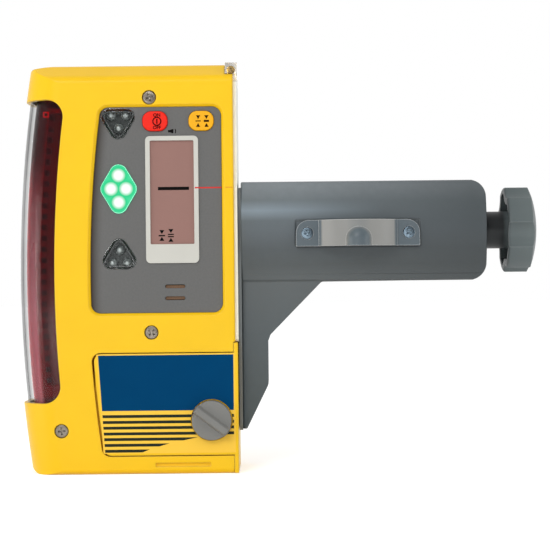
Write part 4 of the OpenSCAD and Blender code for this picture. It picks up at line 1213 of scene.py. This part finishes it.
@dataclass
class Casing:
    """The two moulded shells, their screws and the right side.

    Attributes:
        frame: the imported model.
        screws: places of the front screws in X and Z, with the turn of each cross.
        cross: the recess in their heads.
    """

    frame: Frame
    screws: tuple[Triple, ...] = ((9.6, 165.0, 20), (9.6, 62.1, 48), (-30.2, 19.3, 5))
    cross: CrossDrive = CrossDrive(span=3.4, width=0.75, depth=0.9, rim=0.5)

    def build(self) -> None:
        """Dresses the shells and builds what is fixed to them."""
        self.frame.dress(YELLOW, "front_casing", "rear_casing")
        self.frame.dress(RUBBER, "casing_gasket")
        self.frame.dress(PLATED, "side_plate", "battery_contacts")
        self.frame.dress(DARK_STEEL, "side_magnets")
        self.frame.dress(BLOCK, "corner_vial_block")
        self.frame.dress(AMBER, "corner_vial")
        self.frame.dress(CELL, "batteries")
        screws = self.cross.heads(self.frame, "casing_screws", "casing_cross_screws", self.screws)
        Bench.settle(screws, CASE_STEEL, Body.RECEIVER, "casing_screws")


@dataclass
class PhotocellWindow:
    """The clear bowed lens, the filter behind it and the row of photocells, sizes in mm.

    Attributes:
        frame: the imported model.
        marker_at: middle of the lit frame in X and Z.
        marker_side: its side.
        marker_line: width of its line.
        marker_rise: its thickness.
        post_round: rounding of the post that carries it.
    """

    frame: Frame
    marker_at: Pair = (-38.0, 159.6)
    marker_side: float = 2.5
    marker_line: float = 0.5
    marker_rise: float = 0.3
    post_round: float = 0.1

    def build(self) -> None:
        """Dresses the window and what is seen through it."""
        self.frame.dress(WINDOW, "photocell_window")
        self.frame.dress(FILTER, "red_filter")
        self.frame.dress(CELL_BOARD, "photocell_board")
        self.frame.dress(DEVICE, "photocells")
        self.marker()

    def marker(self) -> None:
        """The dark post over the row of photocells with a lit square frame on its end."""
        front, back = self.frame.front("photocells"), self.frame.front("photocell_board")
        half = self.marker_side / 2
        post = self.square("marker_post", half, front, back)
        Bench.soften(post, self.post_round)
        Bench.settle(post, DEVICE, Body.RECEIVER)
        lit = self.square("marker_frame", half, front - self.marker_rise, front)
        over = 2 * self.marker_rise
        Bench.cut(lit, self.square("hole", half - self.marker_line, front - over, front + over))
        Bench.settle(lit, MARKER, Body.RECEIVER)

    def square(self, name: str, half: float, front: float, back: float) -> Object:
        """A square block about the marker's middle, from half its side and two depths."""
        x, z = self.marker_at
        return Bench.block(name, point(x - half, front, z - half), point(x + half, back, z + half))


@dataclass
class ControlPanel:
    """The grey panel with its display, lamps and keys, sizes in mm.

    Attributes:
        frame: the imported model.
        key_round: rounding of the keys.
        lamp_x: middle of the lamps across.
        upper_base: height of the upper lamp's base.
        lower_base: height of the lower lamp's base.
        lamp_half: half the base of a three-cornered lamp.
        lamp_tall: height of it before its corners are rounded.
        lamp_round: radius of its corners.
        lamp_wall: wall of its lens, with the gap behind it.
        shade_front: depth where its shade starts.
        shade_back: depth where its shade ends.
        shade_wall: wall of the shade.
        diode_pitch: distance between the two diodes in a row.
        diode_row: distance from the lamp's base to that row.
        diode_drop: distance from the row to the third diode.
        diode_r: radius of a diode, with play.
        cloth_x: sides of the cloth behind the sounder's slots.
        cloth_y: front and back of the cloth, from the panel's back.
        cloth_z: foot and top of the cloth.
        cloth_round: rounding of its edges.
        power_at: middle of the power sign in X and Z.
        power_r: radius of its ring.
        power_line: width of its lines.
        power_bar: length of its bar.
        power_words: words above and below it, with their middles in height.
        power_tall: height of their letters.
        key_bands: signs on the orange key.
        shown_bar: middle and size of the bar on the display.
        shown_bands: signs on the display.
        sound_at: root of the sounder sign's horn in X and Z.
        sound_box: middle of its box from there, with the box's width and height.
        sound_horn: the same of the horn before it is cut.
        horn_root: half the height of the horn's root.
        horn_slope: slope of the horn's sides.
        sound_wave: middle of the wave from the root, with its radius and line.
        wave_slope: slope of the sides that the wave ends at.
        grade_z: height of the on-grade line.
        grade_lines: parts of that line with their ink, carrier, margins and thickness.
    """

    frame: Frame
    key_round: float = 0.6
    lamp_x: float = -4.2
    upper_base: float = 160.3
    lower_base: float = 89.9
    lamp_half: float = 10.4
    lamp_tall: float = 16.8
    lamp_round: float = 3.8
    lamp_wall: float = 1.25
    shade_front: float = -19.15
    shade_back: float = -15.0
    shade_wall: float = 0.5
    diode_pitch: float = 6.6
    diode_row: float = 2.6
    diode_drop: float = 5.9
    diode_r: float = 2.45
    cloth_x: Pair = (15.9, 24.3)
    cloth_y: Pair = (-0.9, -0.6)
    cloth_z: Pair = (76.4, 82.8)
    cloth_round: float = 0.1
    power_at: Pair = (12.9, 154.5)
    power_r: float = 1.75
    power_line: float = 0.55
    power_bar: float = 2.2
    power_words: tuple[tuple[str, float], ...] = (("ON", 157.15), ("OFF", 151.7))
    power_tall: float = 1.4
    key_bands: tuple[BandSign, ...] = (
        BandSign(30.95, (155.25, 156.95), (154.45,), (153.55, 151.85), half=0.92, wide=2.3, thick=0.42),
        BandSign(34.6, (155.25, 156.95), (154.45,), (153.55, 151.85), half=0.92, wide=2.3, thick=0.9))
    shown_bar: tuple[float, float, float, float] = (19.8, 125.1, 13.6, 1.4)
    shown_bands: tuple[BandSign, ...] = (
        BandSign(14.5, (105.15, 106.9), (104.45,), (103.95, 102.2), half=1.1, wide=2.85, thick=0.6),
        BandSign(18.46, (105.55, 107.3), (104.97, 103.99), (103.45, 101.75), half=1.1, wide=2.6, thick=0.5))
    sound_at: Pair = (18.45, 150.2)
    sound_box: Triple = (-0.3, 0.9, 1.0)
    sound_horn: Triple = (0.8, 1.6, 1.8)
    horn_root: float = 0.45
    horn_slope: float = 0.42
    sound_wave: Triple = (0.75, 1.8, 0.4)
    wave_slope: float = 0.6
    grade_z: float = 125.3
    grade_lines: tuple[tuple[str, Finish, str, Pair, float], ...] = (
        ("grade_line_bezel", INK_RED, "display_bezel", (0.025, 0.025), 0.6),
        ("grade_line_panel", INK_RED, "control_panel", (0.025, 0.025), 0.6),
        ("grade_line_casing", INK_FAINT, "front_casing", (1.7, 0.5), 0.45))

    def build(self) -> None:
        """Builds the panel and its parts."""
        self.frame.dress(PANEL, "control_panel")
        self.frame.dress(BEZEL, "display_bezel")
        self.frame.dress(DISPLAY, "display_glass")
        self.frame.dress(LENS, "upper_lamp_lens", "lower_lamp_lens")
        self.frame.dress(DIODE, "upper_leds", "lower_leds", "centre_leds")
        self.frame.dress(GLOW, "centre_lamp_lens")
        self.frame.dress(DEVICE, "key_switches", "beeper")
        self.frame.dress(BOARD, "main_board")
        self.sounder_cloth()
        self.frame.mould("power_key", Body.POWER_KEY, RED_KEY, self.key_round, 4)
        self.frame.mould("deadband_key", Body.DEADBAND_KEY, ORANGE_KEY, self.key_round, 4)
        self.lamp_shades()
        self.key_marks()
        self.display_marks()
        self.sounder_mark()
        self.grade_marks()

    def sounder_cloth(self) -> None:
        """The brown dust cloth behind the sounder's slots."""
        back = self.frame.back("control_panel")
        front, rear = (back + value for value in self.cloth_y)
        corners = zip(self.cloth_x, (front, rear), self.cloth_z)
        cloth = Bench.block("sounder_cloth", *(point(*corner) for corner in corners))
        Bench.soften(cloth, self.cloth_round)
        Bench.settle(cloth, CLOTH, Body.RECEIVER)

    def lamp_shades(self) -> None:
        """The cups round the diodes of the two three-cornered lamps, the lower one turned upside down."""
        upper = self.lamp_shade()
        lower = Bench.twin(upper, "lower_lamp_shade")
        middle = point(self.lamp_x, self.shade_back, (self.upper_base + self.lower_base) / 2)
        with Bench.editing(lower):
            bpy.ops.transform.rotate(value=math.pi, orient_axis="Y", center_override=middle)
        for cup in (upper, lower):
            Bench.smooth(cup)
            Bench.settle(cup, LAMP_CUP, Body.RECEIVER)

    def lamp_shade(self) -> Object:
        """The cup round the diodes of the upper lamp, which points down.

        Returns:
            The cup, which rides on nothing yet.
        """
        x, base, inset = self.lamp_x, self.upper_base, self.lamp_wall
        low = point(x - self.lamp_half, self.shade_front, base - self.lamp_tall)
        high = point(x + self.lamp_half, self.shade_back, base - inset)
        cup = Bench.block("upper_lamp_shade", low, high)
        for side in (-1, 1):
            normal = Vector((side * self.lamp_tall, 0, -self.lamp_half)).normalized()
            Bench.slice(cup, Vector((x + side * self.lamp_half, 0, base)) - normal * inset, normal)
        Bench.round_corners(cup, self.lamp_round - inset)
        with Bench.editing(cup):
            Bench.choose_front(cup)
            bpy.ops.mesh.inset(thickness=self.shade_wall * MM)
            depth = (self.shade_back - self.shade_front - self.shade_wall) * MM
            bpy.ops.mesh.extrude_region_move(TRANSFORM_OT_translate={"value": (0, depth, 0)})
        row = base - self.diode_row
        for side, z in ((-1, row), (1, row), (0, row - self.diode_drop)):
            centre = point(x + side * self.diode_pitch / 2, self.shade_back, z)
            Bench.cut(cup, Bench.bore(centre, self.diode_r, length=3, sides=32))
        return cup

    def key_marks(self) -> None:
        """The signs on the two keys."""
        power = Ink(self.frame.front("power_key"), INK_MAROON)
        x, z = self.power_at
        for text, height in self.power_words:
            power.word(text, x, height, self.power_tall)
        power.ring(x, z, self.power_r, self.power_line)
        power.bar(x, z, self.power_line, self.power_bar)
        power.lay("power_key_signs", Body.POWER_KEY)
        band = Ink(self.frame.front("deadband_key"), INK_BROWN)
        for sign in self.key_bands:
            sign.draw(band)
        band.lay("deadband_key_signs", Body.DEADBAND_KEY)

    def display_marks(self) -> None:
        """What the display shows: the on-grade bar and the two band signs."""
        shown = Ink(self.frame.front("display_glass"), INK_BLACK)
        shown.bar(*self.shown_bar)
        for sign in self.shown_bands:
            sign.draw(shown)
        shown.lay("display_signs", Body.RECEIVER)

    def sounder_mark(self) -> None:
        """The sounder sign: a box, its horn and one wave."""
        sound = Ink(self.frame.front("control_panel"), INK_BLACK)
        x, z = self.sound_at
        box_x, horn_x, wave_x = (x + part[0] for part in (self.sound_box, self.sound_horn, self.sound_wave))
        sound.bar(box_x, z, *self.sound_box[1:])
        horn = sound.bar(horn_x, z, *self.sound_horn[1:])
        wave = sound.ring(wave_x, z, *self.sound_wave[1:])
        for side in (-1, 1):
            Bench.slice(horn, Vector((x, 0, z + side * self.horn_root)), Vector((-self.horn_slope, 0, side)))
            Bench.slice(wave, Vector((wave_x, 0, z)), Vector((-self.wave_slope, 0, side)))
        sound.lay("sounder_sign", Body.RECEIVER)

    def grade_marks(self) -> None:
        """The on-grade line over the bezel, the panel and the casing."""
        left = self.frame.right("display_glass")
        for name, finish, carrier, (before, after), thick in self.grade_lines:
            right = self.frame.right(carrier)
            ink = Ink(self.frame.front(carrier), finish)
            start, end = left + before, right - after
            ink.bar((start + end) / 2, self.grade_z, end - start, thick)
            ink.lay(name, Body.RECEIVER)
            left = right


@dataclass
class BatteryDoor:
    """The battery door with its label and thumbscrew, sizes in mm.

    Attributes:
        frame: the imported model.
        thumb_round: rounding of the thumbscrew.
        slant: two points of the label's left side in X and Z.
        right: right side of the label.
        field_top: top of the blue field.
        field_foot: foot of the blue field.
        field_round: radius of its upper left corner.
        sheet_foot: foot of the label's sheet.
        sheet_side: how far the sheet stands out from the field at its sides.
        sheet_over: how far it stands out at its top.
        sheet_round: radius of its left corners.
        sheet_rise: how far it stands proud.
        stripe: height of a stripe.
        stripes: middle, right end and slant of each stripe.
        spare: length of a part beyond the slants that cut it.
        recess_r: radius of the thumbscrew's recess.
    """

    frame: Frame
    thumb_round: float = 0.5
    slant: tuple[Pair, Pair] = ((-13.95, 52.3), (-11.2, 10.3))
    right: float = 45.3
    field_top: float = 52.2
    field_foot: float = 27.9
    field_round: float = 1.8
    sheet_foot: float = 9.3
    sheet_side: float = 0.7
    sheet_over: float = 0.5
    sheet_round: float = 2.2
    sheet_rise: float = 0.03
    stripe: float = 1.3
    stripes: tuple[Triple, ...] = ((25.5, 45.3, 0), (22.95, 45.3, 0), (20.45, 45.3, 0), (17.9, 45.3, 0),
                                   (15.45, 26.3, 5), (12.9, 14.8, 3.5), (10.35, 6.8, 2.4))
    spare: float = 4.0
    recess_r: float = 9.15

    def build(self) -> None:
        """Builds the door, its label and its thumbscrew."""
        self.frame.dress(YELLOW, "battery_door")
        self.frame.dress(RUBBER, "door_seal")
        self.frame.dress(STEEL, "thumbscrew_clip")
        self.frame.mould("door_thumbscrew", Body.THUMBSCREW, THUMB, self.thumb_round, 3)
        self.label()

    def label(self) -> None:
        """The plain blue field and the stripes under it, on a pale sheet."""
        face = self.frame.front("battery_door")
        base, blue, dark = Ink(face, LABEL, self.sheet_rise), Ink(face, INK_BLUE), Ink(face, INK_DARK)
        sheet_top = self.field_top + self.sheet_over
        sheet = self.part(base, self.right + self.sheet_side, self.sheet_foot, sheet_top, self.sheet_side)
        Bench.round_corners(sheet, self.sheet_round, lambda corner: corner.x < 0)
        middle = (self.field_top + self.field_foot) / 2 * MM
        blue_field = self.part(blue, self.right, self.field_foot, self.field_top)
        Bench.round_corners(blue_field, self.field_round, lambda corner: corner.x < 0 and corner.z > middle)
        for z, end, lean in self.stripes:
            stripe = self.part(dark, end + self.spare, z - self.stripe / 2, z + self.stripe / 2)
            Bench.slice(stripe, Vector((end, 0, z)), Vector((1, 0, -lean)))
        recess = self.frame.middle("door_thumbscrew")
        recess.y = face
        for ink, name in ((base, "sheet"), (blue, "field"), (dark, "stripes")):
            for part in ink.parts:
                Bench.cut(part, Bench.bore(recess * MM, self.recess_r, length=4, sides=96))
            ink.lay("door_label_" + name, Body.DOOR)

    def part(self, ink: Ink, right: float, foot: float, top: float, side: float = 0.0) -> Object:
        """A part of the label, cut along its slanted left side.

        Args:
            ink: the ink.
            right: its right side.
            foot: its foot.
            top: its top.
            side: how far it stands out from the label's left side.

        Returns:
            The part.
        """
        (x0, z0), (x1, z1) = self.slant
        left = x0 - self.spare
        part = ink.bar((left + right) / 2, (foot + top) / 2, right - left, top - foot)
        Bench.slice(part, Vector((x0 - side, 0, z0)), Vector((z1 - z0, 0, x0 - x1)))
        return part


@dataclass
class RodClamp:
    """The clamp with its jaws, lead screw, knob and vial holder, sizes in mm.

    Attributes:
        frame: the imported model.
        body_round: rounding of the clamp and its jaw.
        pad_round: rounding of the jaw pads.
        screws: places of the vial holder's screws in X, with the turn of each cross.
        cross: the recess in their heads.
    """

    frame: Frame
    body_round: float = 0.6
    pad_round: float = 0.5
    screws: tuple[Pair, ...] = ((78.15, 15), (122.85, 40))
    cross: CrossDrive = CrossDrive(span=2.6, width=0.6, depth=0.7, rim=0.4)

    def build(self) -> None:
        """Builds the clamp."""
        self.frame.mould("clamp_body", Body.CLAMP, CLAMP, self.body_round, 3)
        self.frame.mould("sliding_jaw", Body.JAW, CLAMP, self.body_round, 3)
        self.frame.mould("fixed_jaw_pad", Body.CLAMP, RUBBER, self.pad_round)
        self.frame.mould("jaw_pad", Body.JAW, RUBBER, self.pad_round)
        self.frame.dress(HOLDER, "vial_holder")
        self.frame.dress(KNOB, "clamp_knob")
        self.frame.dress(DARK_STEEL, "mount_plate")
        self.frame.dress(STEEL, "mount_plate_screws", "clamp_screw", "thrust_washer")
        self.frame.dress(BRASS, "jaw_nut", "screw_bush")
        self.frame.dress(FLUID, "plumb_vial")
        node = "vial_holder_screws"
        spots = [(x, self.frame.middle(node).z, degrees) for x, degrees in self.screws]
        screws = self.cross.heads(self.frame, node, "holder_cross_screws", spots)
        Bench.settle(screws, HOLDER_STEEL, Body.CLAMP, node)


@dataclass(frozen=True)
class Lamp:
    """A soft box lamp, in metres and watts.

    Attributes:
        name: the lamp's name.
        spot: where it stands.
        aim: what it points at.
        size: its width and height.
        power: its power.
    """

    name: str
    spot: Triple
    aim: Triple
    size: Pair
    power: float

    def build(self) -> None:
        """Sets the lamp up."""
        data = bpy.data.lights.new(self.name, "AREA")
        data.shape = "RECTANGLE"
        data.size, data.size_y = self.size
        data.energy = self.power
        lamp = bpy.data.objects.new(self.name, data)
        lamp.location = self.spot
        lamp.rotation_euler = (Vector(self.aim) - Vector(self.spot)).to_track_quat("-Z", "Y").to_euler()
        bpy.context.scene.collection.objects.link(lamp)


@dataclass
class Studio:
    """Camera, light and floor.

    Attributes:
        eye: place of the camera, in mm.
        angle: angle of view, in degrees.
        roll: turn of the camera about its view, in degrees.
        sensor: width of the camera's sensor, in mm.
        clip: nearest and farthest distance that the camera sees, in metres.
        ambient: strength of the light from all round.
        front_dim: strength that mirrors see in the room behind the camera.
        front_range: directions in Y between which that room ends.
        floor_size: side of the floor, in metres.
        floor_colour: colour of the floor.
        floor_roughness: roughness of the floor.
        floor_glow: how far the floor is lifted to white for the eye.
        lamps: the lamps.
    """

    eye: Triple = (63.9, -721.0, 86.7)
    angle: float = 19.5
    roll: float = 0.6
    sensor: float = 36.0
    clip: Pair = (0.01, 20.0)
    ambient: float = 0.6
    front_dim: float = 0.12
    front_range: Pair = (-0.7, 0.2)
    floor_size: float = 8.0
    floor_colour: Colour = (0.92, 0.92, 0.92)
    floor_roughness: float = 0.9
    floor_glow: float = 0.5
    lamps: tuple[Lamp, ...] = (
        Lamp("key_light", (-0.35, -1.2, 0.75), (0.06, 0, 0.07), (0.45, 0.45), 5.3),
        Lamp("top_light", (-0.1, -0.75, 1.0), (0.05, 0, 0.12), (0.8, 0.15), 1.4),
        Lamp("low_light", (0.0, -0.9, 0.03), (0.05, 0, 0.06), (0.7, 0.05), 0.5),
        Lamp("left_light", (-0.7, -0.32, 0.1), (-0.03, 0, 0.08), (0.36, 0.18), 1.1),
        Lamp("right_light", (0.8, -0.35, 0.24), (0.047, 0, 0.14), (0.2, 0.2), 0.8))

    def build(self) -> None:
        """Makes the camera, the floor and the light."""
        scene = bpy.context.scene
        scene.view_settings.view_transform = "Standard"
        data = bpy.data.cameras.new("camera")
        data.sensor_width = self.sensor
        data.lens = self.sensor / 2 / math.tan(math.radians(self.angle) / 2)
        data.clip_start, data.clip_end = self.clip
        camera = bpy.data.objects.new("camera", data)
        camera.location = Vector(self.eye) * MM
        camera.rotation_euler = (math.pi / 2, math.radians(self.roll), 0)
        scene.collection.objects.link(camera)
        scene.camera = camera
        self.floor()
        self.sky()
        for lamp in self.lamps:
            lamp.build()

    def seen(self, nodes: Nodes, plain: float, mirrored: Feed, direct: float) -> Socket:
        """A strength that mirrors, glass and the camera see in their own way.

        Args:
            nodes: the nodes.
            plain: the strength that lights the object.
            mirrored: the strength that mirrors and glass see.
            direct: the strength that the camera sees.

        Returns:
            The strength.
        """
        path = nodes.put("LightPath").outputs
        strength = plain
        for ray, other in (("Glossy", mirrored), ("Transmission", mirrored), ("Camera", direct)):
            feeds = ("Factor", path[f"Is {ray} Ray"]), ("A", strength), ("B", other)
            strength = nodes.put("Mix", *feeds).outputs["Result"]
        return strength

    def floor(self) -> None:
        """A plain pale floor that keeps the object's shadow."""
        floor = Bench.add(bpy.ops.mesh.primitive_plane_add, size=self.floor_size)
        floor.name = "floor"
        material = bpy.data.materials.new("floor_white")
        nodes = Nodes(material)
        nodes.give("Base Color", self.floor_colour)
        nodes.give("Roughness", self.floor_roughness)
        nodes.give("Specular IOR Level", 0.0)
        nodes.give("Emission Color", WHITE)
        nodes.give("Emission Strength", self.seen(nodes, 0.0, self.floor_glow, self.floor_glow))
        floor.data.materials.append(material)

    def sky(self) -> None:
        """White for the camera, dim behind it for mirrors and glass, and a plain light for the rest."""
        world = bpy.data.worlds.new("studio")
        bpy.context.scene.world = world
        nodes = Nodes(world, "Background")
        nodes.give("Color", WHITE)
        way = nodes.put("TexCoord").outputs["Generated"]
        back = nodes.span(nodes.part("Y", way), self.front_range, (self.front_dim, 1))
        nodes.give("Strength", self.seen(nodes, self.ambient, back, 1.0))


def main() -> None:
    """Builds the sub-assemblies in order."""
    logging.basicConfig(level=logging.INFO, format="%(name)s: %(message)s")
    frame = Frame(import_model()["nodes"])
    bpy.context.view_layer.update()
    Studio().build()
    for kind in (Casing, PhotocellWindow, ControlPanel, BatteryDoor, RodClamp):
        LOG.info("building %s", kind.__name__)
        kind(frame).build()


if __name__ == "__main__":
    main()
